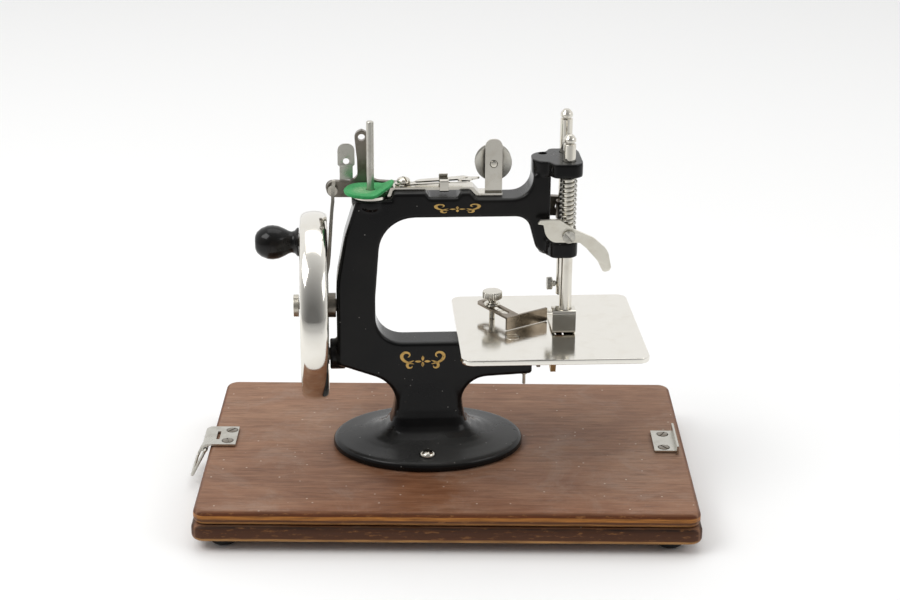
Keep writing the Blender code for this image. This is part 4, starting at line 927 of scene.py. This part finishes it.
def make_link(machine):
    """Strip from the lever down into the wheel's cup, where its fork straddles the stud."""
    eye_x, eye_z = LEVER_LEFT
    path = [(eye_x + 0.5, 9.3, 131.6, 2.2), (eye_x + 0.5, 9.3, 130.4, 3.9),
            (eye_x, 9.3, eye_z, 3.9), (eye_x, 9.0, 122.0, 5.0), (-45.4, 7.8, 117.0, 5.0),
            (-46.9, 3.0, 97.0, 5.0), (-47.5, 1.3, 92.5, 7.0), (LINK_FORK_X, 0.0, 87.0, 10.0),
            (LINK_FORK_X, 0.0, 83.2, 14.0)]
    half = LINK_THICKNESS / 2 + 0.15
    rings = []
    for x, y, z, width in reversed(path):
        rings.append([(x - half, y - width / 2, z), (x + half, y - width / 2, z),
                      (x + half, y + width / 2, z), (x - half, y + width / 2, z)])
    link = loft(rings)
    finish(link, "connecting_link", machine)
    fork = sheet([(-7.2, 62.0), (-4.4, 62.0), (-4.4, 83.4), (4.4, 83.4), (4.4, 62.0), (7.2, 62.0),
                  (7.2, 85.4), (5.6, 88.2), (-5.6, 88.2), (-7.2, 85.4)], LINK_THICKNESS)
    fuse(link, fork, machine, (LINK_FORK_X, 0, 0), CROSSWISE)
    fuse(link, rod(1.5, -52.4, LINK_FORK_X, 14), machine, (0, 0, 87.4), ALONG_X)
    fuse(link, rod(2.3, 8.2, 11.25, 20), machine, (eye_x, 0, eye_z), ALONG_Y)
    drill(link, machine, (eye_x, 0, eye_z), 1.45 + 1.2 * GAP, 9.2, 20, ALONG_Y)


def make_top_plate(machine):
    """Bent strip: spool seat, raised middle, lower right end with the tension tab."""
    low = SPOOL_SEAT + GAP
    mid = PAD_TOP + GAP
    right = ARM_TOP + GAP
    thick = STRIP
    side = rounded([(-24.0, low), (-18.0, low), (-16.9, mid), (19.4, mid), (22.2, right, 0.6),
                    (34.2, right), (34.2, right + thick), (23.4, right + thick, 1.2),
                    (20.4, mid + thick, 1.2), (-18.0, mid + thick, 1.0),
                    (-19.1, low + thick, 0.6), (-24.0, low + thick)], 2)
    plate = sheet(side, 8.0)
    finish(plate, "top_plate", machine, rotation=UPRIGHT)
    fuse(plate, rod(8.6, low, low + thick, 32), machine, (*SPOOL, 0))
    x, z = TENSION
    tab = sheet(rounded([(x - 4.05, right + 0.4), (x + 4.0, right + 0.4), (x + 4.0, 154.0, 3.6),
                         (x - 4.05, 154.0, 3.6)], 5), 1.1)
    fuse(plate, tab, machine, (0, TENSION_TAB_Y, 0), UPRIGHT)
    drill(plate, machine, (*SPOOL, 0), SPOOL_PIN_RADIUS + GAP, 120, 135, sides=20)
    drill(plate, machine, (DOME_SCREW_X, 0, 0), PIN_TAP, 124, 136, sides=20)
    drill(plate, machine, (x, 0, z), TENSION_STUD + GAP, -4, 4, ALONG_Y, 20)


def make_thread_leaf(machine):
    """Springy leaf held by the dome screw; the clip keeps it over the plate."""
    base = PAD_TOP + GAP + STRIP + GAP
    tilt = math.radians(-3.4)
    leaf_outline = (half_ring((0, 0), 4.0, math.pi / 2)
                    + rounded([(5.0, -3.2, 4.0), (20.5, -3.7, 8.0), (24.5, -4.9, 3.0),
                               (30.0, -4.9, 2.6), (32.0, -1.6, 1.2), (34.6, -0.4, 0.6),
                               (35.6, 0.4, 0.3), (35.4, 1.3, 0.3), (31.8, 1.8, 2.0),
                               (28.4, 4.4, 2.0), (20.5, 3.7, 8.0), (5.0, 3.2, 4.0)], 3))
    leaf = sheet(leaf_outline, 0.7, [ring_of((0, 0), 1.9, 16),
                                     slot_of((26.2, -1.4), (29.2, 0.4), 0.95, 4)])
    finish(leaf, "thread_leaf", machine, (DOME_SCREW_X, 0, base + 0.7), (0, tilt, 0))
    screw("top_plate_screw", machine, (DOME_SCREW_X, 0, base + 3.7), (3.2, 2.3), (1.6, 7.2),
          dome=1.8, turn=2.0)
    band = [(-3.0, 135.2), (-4.3, 135.1), (-4.7, 134.7), (-4.7, 130.5), (-4.3, 130.0),
            (4.3, 130.0), (4.7, 130.5), (4.7, 135.4), (4.3, 135.8), (3.0, 136.0)]
    clip = ribbon(band, [0.6] * len(band), 4.2)
    finish(clip, "leaf_clip", machine, (7.0, 0, 0), CROSSWISE)


def make_spool(machine):
    radius = SPOOL_PIN_RADIUS
    pin = turned([(0, 163.0), (1.3, 163.0), (radius, 162.5), (radius, 118.0), (0, 118.0)],
                 steps=20)
    finish(pin, "spool_pin", machine, (*SPOOL, 0))
    finish(felt_disc(), "felt_pad", machine, (*SPOOL, SPOOL_SEAT + GAP + STRIP), edge=0)


def felt_lift(x, y):
    """Height of the felt over its seat: it climbs the bent strip at the right and curls there."""
    along = math.cos(FELT_CURL_AWAY) * x + math.sin(FELT_CURL_AWAY) * y
    part = min(max((along - FELT_CURL_START) / FELT_CURL_RUN, 0.0), 1.0)
    curl = FELT_CURL * part * part * (3 - 2 * part)
    angle = math.atan2(y, x)
    wave = 0.16 * math.sin(3 * angle + 0.6) + 0.10 * math.sin(5 * angle + 2.0)
    return curl + 0.30 + wave * min(math.hypot(x, y) / FELT_RADIUS, 1.0) ** 2


def felt_disc():
    """A cut disc of felt with a hole for the pin, laid and curled, with a soft uneven rim."""
    around = 144
    half = FELT_THICKNESS / 2
    rings = 16
    shift = (FELT_CENTRE[0] - SPOOL[0], FELT_CENTRE[1] - SPOOL[1])
    shape = bmesh.new()
    rows = []
    profile = [(step / rings, half) for step in range(rings + 1)]
    profile += [(1.0 + 0.05 * math.cos(turn), half * math.sin(turn))
                for turn in (math.pi / 4, 0.0, -math.pi / 4)]
    profile += [(1.0 - step / rings, -half) for step in range(rings + 1)]
    for step in range(around):
        angle = TURN * step / around
        ragged = 0.07 * math.sin(7 * angle) + 0.05 * math.sin(17 * angle + 1.0)
        reach = FELT_RADIUS - 0.5 + ragged - FELT_HOLE
        row = []
        for part, side in profile:
            radius = FELT_HOLE + reach * part
            x = radius * math.cos(angle) + shift[0] * part
            y = radius * math.sin(angle) + shift[1] * part
            z = felt_lift(x, y) + half + side
            row.append(shape.verts.new(Vector((x, y, z)) * MM))
        rows.append(row)
    for index, row in enumerate(rows):
        after = rows[(index + 1) % around]
        for place in range(len(row)):
            following = (place + 1) % len(row)
            shape.faces.new((row[place], after[place], after[following], row[following]))
    bmesh.ops.recalc_face_normals(shape, faces=shape.faces)
    return from_bmesh(shape, "felt")


def make_tension(machine):
    x, z = TENSION
    frame = new_empty("tension_axis", (x, 0, z), parent=machine)
    front = TENSION_TAB_Y - 0.55
    stud = turned([(0, 17.4), (1.3, 17.4), (TENSION_STUD, 17.0), (TENSION_STUD, front - 0.3),
                   (0, front - 0.3)], steps=20)
    finish(stud, "tension_stud", frame, rotation=ALONG_Y)
    bore = TENSION_STUD + GAP
    disc_places = (("tension_disc_front", 0.0, 1.2), ("tension_disc_back", 3.6, 2.4))
    for name, rim, face in disc_places:
        disc = turned([(bore, face + 0.6), (5.6, face + 0.6), (8.6, rim + 0.6), (8.6, rim),
                       (5.6, face), (bore, face)], closed=True, steps=22)
        finish(disc, name, frame, rotation=ALONG_Y)
    spring = wire(helix(4.4, 3.9, 10.3, 3.5, 7, 2.7), 0.4)
    finish(spring, "tension_spring", frame, rotation=ALONG_Y)
    nut = turned([(bore, 15.6), (3.0, 15.6), (3.6, 15.0), (3.6, 12.4), (4.3, 12.0), (4.3, 11.2),
                  (bore, 11.2)], closed=True, steps=48)
    ridged(nut, 3.4, 12.2, 15.2, 24, 0.3)
    finish(nut, "tension_nut", frame, rotation=ALONG_Y)


# ------------------------------------------------------------------ gilt ornament
def ribbon(points, widths, height=0.08):
    """A flat painted stroke through points, with its width at each."""
    left = []
    right = []
    for index, point in enumerate(points):
        before = Vector(points[max(index - 1, 0)])
        after = Vector(points[min(index + 1, len(points) - 1)])
        side = (after - before).normalized().orthogonal() * widths[index] / 2
        left.append(tuple(Vector(point) + side))
        right.append(tuple(Vector(point) - side))
    return sheet(left + right[::-1], height)


def scroll(start, heading, length, curl, width, steps=40):
    """A stroke whose curve tightens evenly until it ends in a curl."""
    points = [start]
    widths = [0.15]
    x, y = start
    for step in range(1, steps + 1):
        part = step / steps
        angle = heading + curl * part ** 2.2
        x += length / steps * math.cos(angle)
        y += length / steps * math.sin(angle)
        points.append((x, y))
        widths.append(0.15 + width * math.sin(math.pi * part) ** 0.8)
    return ribbon(points, widths)


def leaf(centre, heading, length, width):
    points = []
    widths = []
    for step in range(17):
        part = step / 16
        reach = (part - 0.5) * length
        points.append((centre[0] + reach * math.cos(heading),
                       centre[1] + reach * math.sin(heading)))
        widths.append(0.08 + width * math.sin(math.pi * part))
    return ribbon(points, widths)


def make_ornament(machine):
    """Mirrored scrolls and leaves painted on the front of both arms."""
    strokes = []
    for centre, size, flat in (ARM_ORNAMENT, BASE_ORNAMENT):
        first = len(strokes)
        for side in (1, -1):
            heading = 0.25 if side > 0 else math.pi - 0.25
            x = centre[0] + side * 0.16 * size
            strokes.append(scroll((x, centre[1] - 0.06 * size), heading, 0.62 * size,
                                  side * 5.6, 0.055 * size))
            heading = -0.35 if side > 0 else math.pi + 0.35
            strokes.append(scroll((x, centre[1] + 0.02 * size), heading, 0.34 * size,
                                  side * -4.6, 0.045 * size))
            strokes.append(leaf((centre[0] + side * 0.085 * size, centre[1]), 0.0,
                                0.12 * size, 0.05 * size))
        for turn in (0.5, -0.5):
            strokes.append(leaf((centre[0], centre[1] + turn * 0.14 * size), math.pi / 2,
                                0.12 * size, 0.05 * size))
        for stroke in strokes[first:]:
            for vertex in stroke.data.vertices:
                vertex.co.y = (centre[1] + (vertex.co.y / MM - centre[1]) * flat) * MM
    for number, stroke in enumerate(strokes, 1):
        stroke.name = f"gilt_stroke_{number}"
        at(stroke, machine, (0, -ARM_DEPTH / 2 - 0.03, 0), UPRIGHT)
        ORNAMENT.append(stroke)


# ------------------------------------------------------------------ materials
class Look:
    """One procedural material, built up on a Principled shader."""

    def __init__(self, name, metallic=0.0, **sockets):
        self.material = bpy.data.materials.new(name)
        self.material.use_nodes = True
        self.tree = self.material.node_tree
        self.shader = self.tree.nodes["Principled BSDF"]
        self.shader.inputs["Metallic"].default_value = metallic
        for socket, value in sockets.items():
            self.shader.inputs[socket.replace("_", " ")].default_value = value
        coords = self.tree.nodes.new("ShaderNodeTexCoord")
        self.coords = coords.outputs["Object"]

    def feed(self, target, value):
        if isinstance(value, bpy.types.NodeSocket):
            self.tree.links.new(value, target)
        elif isinstance(value, tuple) and target.type == "RGBA":
            target.default_value = (*value, 1)
        else:
            target.default_value = value

    def node(self, kind, **inputs):
        node = self.tree.nodes.new("ShaderNode" + kind)
        for socket, value in inputs.items():
            self.feed(node.inputs[socket], value)
        return node

    def put(self, socket, value):
        self.feed(self.shader.inputs[socket], value)

    def place(self, stretch=(1, 1, 1), turn=(0, 0, 0)):
        return self.node("Mapping", Vector=self.coords, Scale=stretch, Rotation=turn).outputs[0]

    def noise(self, scale, stretch=(1, 1, 1), turn=(0, 0, 0), detail=4.0, rough=0.55, warp=0.0):
        return self.node("TexNoise", Vector=self.place(stretch, turn), Scale=scale, Detail=detail,
                         Roughness=rough, Distortion=warp).outputs[0]

    def specks(self, scale, size, share):
        """1 inside small round specks, in that share of the cells."""
        cells = self.node("TexVoronoi", Vector=self.place(), Scale=scale).outputs
        inside = self.level(cells["Distance"], size, size * 0.6)
        return self.times(inside, self.math("LESS_THAN", cells["Color"], share))

    def level(self, source, low, high, start=0.0, end=1.0):
        node = self.tree.nodes.new("ShaderNodeMapRange")
        for socket, value in zip(node.inputs, (source, low, high, start, end)):
            self.feed(socket, value)
        return node.outputs[0]

    def math(self, operation, first, second):
        node = self.tree.nodes.new("ShaderNodeMath")
        node.operation = operation
        self.feed(node.inputs[0], first)
        self.feed(node.inputs[1], second)
        return node.outputs[0]

    def times(self, first, second):
        return self.math("MULTIPLY", first, second)

    def plus(self, first, second):
        return self.math("ADD", first, second)

    def cover(self, colour, mask, share, tint):
        """Lay a tint over a colour: that share of it where the mask is 1."""
        return self.mix(self.times(mask, share), colour, tint)

    def mix(self, amount, first, second):
        node = self.tree.nodes.new("ShaderNodeMix")
        node.data_type = "RGBA"
        self.feed(node.inputs[0], amount)
        self.feed(node.inputs[6], first)
        self.feed(node.inputs[7], second)
        return node.outputs[2]

    def ramp(self, source, stops):
        """Colour bands: stops are (place from 0 to 1, colour)."""
        node = self.tree.nodes.new("ShaderNodeValToRGB")
        bands = node.color_ramp.elements
        for element, (place, colour) in zip((bands[0], bands[1]), (stops[0], stops[-1])):
            element.position = place
            element.color = (*colour, 1)
        for place, colour in stops[1:-1]:
            bands.new(place).color = (*colour, 1)
        self.tree.links.new(source, node.inputs[0])
        return node.outputs[0]

    def axis(self, index):
        return self.node("SeparateXYZ", Vector=self.coords).outputs[index]

    def facing_up(self):
        """How far the surface faces the sky, from its normal in the world."""
        normal = self.node("NewGeometry").outputs["Normal"]
        return self.node("SeparateXYZ", Vector=normal).outputs[2]

    def edges(self, low, high):
        """1 on convex edges, from the geometry's pointiness."""
        return self.level(self.node("NewGeometry").outputs["Pointiness"], low, high)

    def bump(self, height, distance, strength=1.0, below=None):
        node = self.node("Bump", Distance=distance * MM, Strength=strength, Height=height)
        if below:
            self.feed(node.inputs["Normal"], below)
        self.put("Normal", node.outputs[0])
        return node.outputs[0]


def scratches(look, turns, low=0.66, high=0.72):
    """Thin lines in several directions, longer along each turned X."""
    total = None
    for turn in turns:
        line = look.level(look.noise(1.0, (25, 1500, 1500), (0.3, 0.2, turn), 2.0), low, high)
        total = line if total is None else look.math("MAXIMUM", total, line)
    return total


def japan_look():
    look = Look("japan_black", Specular_IOR_Level=0.17)
    worn = look.noise(60, detail=6, rough=0.65)
    dull = look.noise(22, detail=5)
    dust = look.specks(330, 0.13, 0.3)
    rub = look.times(look.edges(0.53, 0.60), look.level(worn, 0.50, 0.66))
    black = look.mix(look.level(dull, 0.35, 0.75), (0.0035, 0.0035, 0.004), (0.012, 0.011, 0.010))
    black = look.cover(black, rub, 0.55, (0.10, 0.075, 0.055))
    film = look.times(look.level(look.facing_up(), 0.45, 0.98),
                     look.level(dull, 0.25, 0.75, 0.35, 1.0))
    black = look.cover(black, film, 0.26, (0.17, 0.17, 0.165))
    look.put("Base Color", look.cover(black, dust, 0.5, (0.30, 0.29, 0.27)))
    rough = look.plus(look.level(dull, 0.3, 0.8, 0.07, 0.20), look.times(film, 0.22))
    look.put("Roughness", look.math("MAXIMUM", rough, look.times(rub, 0.5)))
    fine = look.bump(look.noise(900, detail=3), 0.006)
    waves = look.bump(look.noise(70, detail=2), 0.10, 0.35, fine)
    look.bump(scratches(look, (0.5, 2.1)), 0.01, 0.5, waves)
    return look.material


def knob_look():
    look = Look("black_wood", Specular_IOR_Level=0.2, Coat_Weight=0.12, Coat_Roughness=0.05)
    dull = look.noise(90, detail=5)
    look.put("Base Color", look.mix(look.level(dull, 0.45, 0.7), (0.004, 0.004, 0.004),
                                    (0.014, 0.011, 0.009)))
    look.put("Roughness", look.level(dull, 0.3, 0.8, 0.10, 0.30))
    rings = look.bump(look.noise(40, (1, 1, 40), detail=3), 0.02, 0.4)
    look.bump(scratches(look, (0.3, 1.4)), 0.01, 0.4, rings)
    return look.material


# Clean and stained colour, least and most roughness, depth of the brush marks, and wear
METALS = {
    "bright_nickel": ((0.70, 0.67, 0.60), (0.44, 0.38, 0.29), (0.08, 0.22), 0.004, 0.35),
    "polished_nickel": ((0.80, 0.775, 0.715), (0.66, 0.60, 0.50), (0.08, 0.17), 0.002, 0.22),
    "satin_nickel": ((0.53, 0.515, 0.465), (0.28, 0.25, 0.20), (0.24, 0.40), 0.008, 0.5),
    "pale_nickel": ((0.80, 0.77, 0.68), (0.58, 0.52, 0.41), (0.30, 0.48), 0.010, 0.3),
    "bronzed": ((0.24, 0.20, 0.155), (0.10, 0.075, 0.05), (0.18, 0.36), 0.008, 0.6),
    "dull_nickel": ((0.58, 0.55, 0.48), (0.34, 0.29, 0.22), (0.24, 0.42), 0.010, 0.45),
    "dark_steel": ((0.25, 0.225, 0.19), (0.11, 0.08, 0.055), (0.28, 0.50), 0.015, 0.7),
    "looper_brass": ((0.56, 0.42, 0.22), (0.22, 0.14, 0.07), (0.22, 0.45), 0.010, 0.6),
}


def metal_look(name, clean, stained, rough, grain, wear):
    """Plated metal: cloudy stains, smudged gloss, brush marks and fine scratches, darker in its
    hollows from dirt and painted shade.
    """
    look = Look(name, metallic=1.0)
    cloud = look.noise(130, detail=6, rough=0.65)
    spots = look.noise(700, detail=3)
    stain = look.times(look.level(cloud, 0.50, 0.72), wear)
    pits = look.level(spots, 0.70, 0.78)
    colour = look.mix(stain, clean, stained)
    # dirt and painted shade: hollows are darkened towards the stained tone, standing in for the
    # shade that falls there
    hollow_dirt_and_shade = look.times(look.edges(0.492, 0.46), 0.7)
    colour = look.mix(hollow_dirt_and_shade, colour, tuple(0.3 * channel for channel in stained))
    pitted = tuple(0.35 * channel for channel in stained)
    look.put("Base Color", look.cover(colour, pits, 0.6, pitted))
    smudge = look.level(look.noise(45, detail=5), 0.35, 0.70, rough[0], rough[1])
    look.put("Roughness", look.math("MAXIMUM", smudge, look.times(pits, 0.6)))
    brushed = look.bump(look.noise(1.0, (60, 60, 2600), detail=3), grain, 0.5)
    look.bump(scratches(look, (0.2, 1.3, 2.4)), 0.008, 0.6, brushed)
    return look.material


def wood_look(name, tones, worn, half, varnish, height, bands):
    """Stained wood with its grain along X, paler where hands and edges have rubbed it."""
    look = Look(name, Specular_IOR_Level=0.16)
    dark, middle, light = tones
    fibre = look.noise(1.0, (45, 520, 520), detail=6, rough=0.68, warp=0.8)
    band = look.noise(1.0, (9, 46, 46), detail=6, rough=0.66, warp=1.8)
    cloud = look.noise(1.0, (15, 24, 24), detail=8, rough=0.72)
    pores = look.level(look.noise(1.0, (60, 1700, 1700), detail=2), 0.62, 0.70)
    colour = look.mix(look.level(band, 0.34, 0.66), dark, middle)
    colour = look.mix(look.times(look.level(fibre, 0.42, 0.72), 0.65), colour, light)
    side_x = look.math("ABSOLUTE", look.axis(0), 0.0)
    side_y = look.math("ABSOLUTE", look.axis(1), 0.0)
    handled = look.level(look.plus(side_x, look.axis(1)), -0.03, 0.12)
    rubbed = look.plus(look.times(look.level(cloud, 0.44, 0.68), 0.42), look.times(handled, 0.38))
    rubbed = look.times(rubbed, look.level(fibre, 0.30, 0.62, 0.55, 1.0))
    colour = look.mix(rubbed, colour, worn)
    marks = scratches(look, (0.35, 0.9, 1.9, 2.7), 0.72, 0.77)
    colour = look.cover(colour, marks, 0.4, (0.42, 0.30, 0.22))
    haze = look.level(look.noise(30, detail=8, rough=0.75, warp=0.6), 0.50, 0.72)
    colour = look.cover(colour, haze, 0.34, (0.36, 0.29, 0.24))
    lint = look.specks(230, 0.13, 0.36)
    colour = look.cover(colour, lint, 0.6, (0.58, 0.50, 0.42))
    colour = look.cover(colour, pores, 0.5, tuple(0.4 * channel for channel in dark))
    # the rounded sides show the layers of the ply
    out_x = look.math("SUBTRACT", side_x, (half[0] - 1.7) * MM)
    out_y = look.math("SUBTRACT", side_y, (half[1] - 1.7) * MM)
    side = look.level(look.math("MAXIMUM", out_x, out_y), -0.0004, 0.0006)
    sway = look.times(look.noise(1.0, (22, 22, 1), detail=4), 0.0011)
    up = look.plus(look.axis(2), look.math("SUBTRACT", sway, 0.00055))
    layers = look.ramp(look.level(up, -height / 2 * MM, height / 2 * MM), bands)
    streak = look.noise(1.0, (55, 55, 1300), detail=7, rough=0.7)
    layers = look.mix(look.level(streak, 0.40, 0.66, 0.0, 0.75), layers, (0.07, 0.028, 0.012))
    worn_off = look.level(look.noise(1.0, (160, 160, 700), detail=6, rough=0.7), 0.56, 0.66)
    layers = look.cover(layers, worn_off, 0.45, (0.34, 0.15, 0.05))
    look.put("Base Color", look.mix(side, colour, layers))
    look.put("Roughness", look.level(rubbed, 0.0, 0.7, varnish, varnish + 0.28))
    grain = look.bump(fibre, 0.05, 0.45)
    deep = look.bump(pores, -0.10, 0.6, grain)
    look.bump(marks, -0.08, 0.6, deep)
    return look.material


STAINED = ((0.115, 0.043, 0.019), (0.20, 0.086, 0.042), (0.30, 0.145, 0.080))
# Colours of the layers from the underside up
UPPER_LAYERS = ((0.0, (0.02, 0.010, 0.006)), (0.08, (0.03, 0.014, 0.008)),
                (0.13, (0.36, 0.17, 0.055)), (0.27, (0.33, 0.145, 0.045)),
                (0.31, (0.10, 0.042, 0.019)), (0.42, (0.13, 0.052, 0.022)),
                (0.46, (0.42, 0.165, 0.036)), (0.66, (0.46, 0.185, 0.040)),
                (0.72, (0.13, 0.038, 0.013)), (0.84, (0.11, 0.036, 0.015)),
                (0.95, (0.18, 0.075, 0.036)))
LOWER_LAYERS = ((0.0, (0.30, 0.17, 0.07)), (0.05, (0.50, 0.28, 0.105)),
                (0.25, (0.44, 0.22, 0.075)), (0.30, (0.09, 0.036, 0.018)),
                (0.66, (0.07, 0.028, 0.015)), (0.84, (0.05, 0.022, 0.013)),
                (0.92, (0.015, 0.008, 0.005)), (1.0, (0.012, 0.007, 0.005)))


def rubber_look():
    look = Look("foot_rubber", Specular_IOR_Level=0.35)
    chalk = look.noise(260, detail=6)
    look.put("Base Color", look.mix(look.level(chalk, 0.5, 0.75), (0.010, 0.010, 0.010),
                                    (0.045, 0.042, 0.038)))
    look.put("Roughness", look.level(chalk, 0.3, 0.8, 0.45, 0.8))
    look.bump(look.noise(1400, detail=4), 0.05, 0.6)
    return look.material


def felt_look():
    look = Look("felt", Sheen_Weight=0.7, Sheen_Roughness=0.5, Roughness=0.95)
    look.shader.inputs["Sheen Tint"].default_value = (0.35, 1.0, 0.45, 1)
    fibre = look.noise(1.0, (900, 2600, 900), detail=5, rough=0.7, warp=2.0)
    cross = look.noise(1.0, (2600, 900, 900), (0, 0, 0.6), detail=5, rough=0.7, warp=2.0)
    patch = look.noise(260, detail=5)
    matted = look.math("MAXIMUM", fibre, cross)
    colour = look.mix(look.level(matted, 0.42, 0.74), (0.004, 0.115, 0.030), (0.035, 0.46, 0.13))
    colour = look.mix(look.level(patch, 0.55, 0.85, 0.0, 0.35), colour, (0.08, 0.50, 0.17))
    # lint has gathered in front of the pin
    away_x = look.plus(look.axis(0), 0.0035)
    away_y = look.plus(look.axis(1), 0.0015)
    near = look.plus(look.times(away_x, away_x), look.times(away_y, away_y))
    lint = look.level(look.noise(1.0, (700, 1500, 700), (0.4, 0.2, 0.5), detail=3, warp=3.0),
                      0.50, 0.57)
    lint = look.times(lint, look.level(near, 0.000035, 0.0))
    look.put("Base Color", look.mix(lint, colour, (0.62, 0.62, 0.45)))
    look.bump(matted, 0.25, 0.9)
    return look.material


def gilt_look():
    look = Look("gilt", metallic=0.85)
    worn = look.noise(420, detail=6, rough=0.7)
    look.put("Base Color", look.mix(look.level(worn, 0.56, 0.70), (0.62, 0.40, 0.13),
                                    (0.06, 0.045, 0.02)))
    look.put("Roughness", look.level(worn, 0.3, 0.8, 0.28, 0.55))
    look.bump(worn, 0.01, 0.5)
    return look.material


def make_looks():
    half_x, half_y = BOARD_LENGTH / 2, BOARD_DEPTH / 2
    looks = {
        "japan_black": japan_look(),
        "black_wood": knob_look(),
        "board_wood": wood_look("board_wood", STAINED, (0.39, 0.245, 0.165), (half_x, half_y),
                                0.36, UPPER_PLY, UPPER_LAYERS),
        "ply_edge": wood_look("ply_edge", STAINED, (0.30, 0.17, 0.10),
                              (half_x + LOWER_OVERHANG, half_y + LOWER_OVERHANG), 0.42,
                              LOWER_PLY, LOWER_LAYERS),
        "foot_rubber": rubber_look(),
        "felt": felt_look(),
    }
    looks.update({name: metal_look(name, *values) for name, values in METALS.items()})
    return looks


# ------------------------------------------------------------------ putting it together
def soften(obj, edge):
    """Round the sharp edges by a hair, so that they catch the light."""
    settle(obj)
    if edge:
        bevel(obj, edge, 2, 35)
        settle(obj)
    obj.data.shade_smooth()
    obj.data.set_sharp_from_angle(angle=math.radians(48))
    obj.modifiers.new("Weighted", "WEIGHTED_NORMAL").keep_sharp = True
    settle(obj)


def paint(obj, material):
    obj.data.materials.clear()
    obj.data.materials.append(material)


def dress(looks):
    """Finish each piece, give it its look and let it ride on its node's body."""
    for obj, node, edge in PIECES:
        soften(obj, edge)
        paint(obj, looks[LOOK_OF.get(node, SLOT_OF[node])])
        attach(obj, BODY_OF[node])
        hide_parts(node)
        if node == "presser_spring":
            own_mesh(obj)
    gilt = gilt_look()
    for stroke in ORNAMENT:
        paint(stroke, gilt)
        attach(stroke, "base")
    shown = {node for _, node, _ in PIECES}
    for node, obj in frame["nodes"].items():
        if node not in shown:
            paint(obj, looks[SLOT_OF[node]])


def clear_helpers():
    """Remove the cutters and the empties that only placed things."""
    bodies = set(frame["bodies"].values())
    for obj in list(bpy.data.objects):
        helper = obj.type == "EMPTY" and obj not in bodies
        if helper or TOOLS in obj.users_collection:
            bpy.data.objects.remove(obj, do_unlink=True)


# ------------------------------------------------------------------ stage
def make_stage():
    shape = bmesh.new()
    bmesh.ops.create_grid(shape, x_segments=1, y_segments=1, size=6.0)
    floor = from_bmesh(shape, "floor")
    look = Look("floor", Roughness=0.7, Specular_IOR_Level=0.2)
    # the floor's colour is painted darker in front: painted shade, which gives bright metal its
    # contrast
    painted_shade_front = look.level(look.axis(1), -0.55, -0.14)
    look.put("Base Color", look.mix(painted_shade_front, (0.48, 0.48, 0.48), (0.90, 0.90, 0.895)))
    paint(floor, look.material)


def add_area(name, place, aim, size, power):
    light = bpy.data.lights.new(name, "AREA")
    light.shape = "RECTANGLE"
    light.size = size[0]
    light.size_y = size[1]
    light.energy = power
    obj = bpy.data.objects.new(name, light)
    obj.location = place
    obj.rotation_euler = (Vector(aim) - Vector(place)).to_track_quat("-Z", "Y").to_euler()
    PARTS.objects.link(obj)


def make_world():
    """White room that is darker behind the camera, which gives bright metal its contrast."""
    world = bpy.data.worlds.new("studio")
    bpy.context.scene.world = world
    world.use_nodes = True
    tree = world.node_tree
    coords = tree.nodes.new("ShaderNodeTexCoord")
    split = tree.nodes.new("ShaderNodeSeparateXYZ")
    tree.links.new(coords.outputs["Generated"], split.inputs[0])
    shade_range = tree.nodes.new("ShaderNodeMapRange")
    tree.links.new(split.outputs[1], shade_range.inputs[0])
    for socket, value in zip(shade_range.inputs[1:5], (-0.95, 0.25, 0.16, 1.0)):
        socket.default_value = value
    background = tree.nodes["Background"]
    background.inputs["Color"].default_value = (1, 1, 1, 1)
    tree.links.new(shade_range.outputs[0], background.inputs["Strength"])


def make_camera():
    data = bpy.data.cameras.new("camera")
    data.lens = CAMERA_LENS
    data.sensor_width = 36.0
    camera = bpy.data.objects.new("camera", data)
    PARTS.objects.link(camera)
    place = Matrix.Translation(Vector(CAMERA_PLACE) * MM)
    tilt = Matrix.Rotation(math.radians(90 - CAMERA_PITCH), 4, "X")
    roll = Matrix.Rotation(math.radians(CAMERA_ROLL), 4, "Z")
    camera.matrix_world = place @ tilt @ roll
    bpy.context.scene.camera = camera


def main():
    board_matrix, machine_matrix = placed_axes()
    board = new_empty("board_frame", (0, 0, 0))
    board.matrix_world = board_matrix
    machine = new_empty("machine_frame_axes", (0, 0, 0))
    machine.matrix_world = machine_matrix
    for make in (make_board, make_left_catch, make_right_catch):
        make(board)
    for make in (make_frame, make_wheel, make_looper_shaft, make_feed, make_plate, make_guide,
                 make_presser, make_lifter, make_needle_bar, make_lever, make_link,
                 make_top_plate, make_thread_leaf, make_spool, make_tension, make_ornament):
        make(machine)
    dress(make_looks())
    clear_helpers()
    make_stage()
    make_world()
    for light in LIGHTS:
        add_area(*light)
    make_camera()
    bpy.context.scene.view_settings.view_transform = "Standard"


main()


def corners(bounds):
    return [[round(value, 6) for value in corner] for corner in bounds]
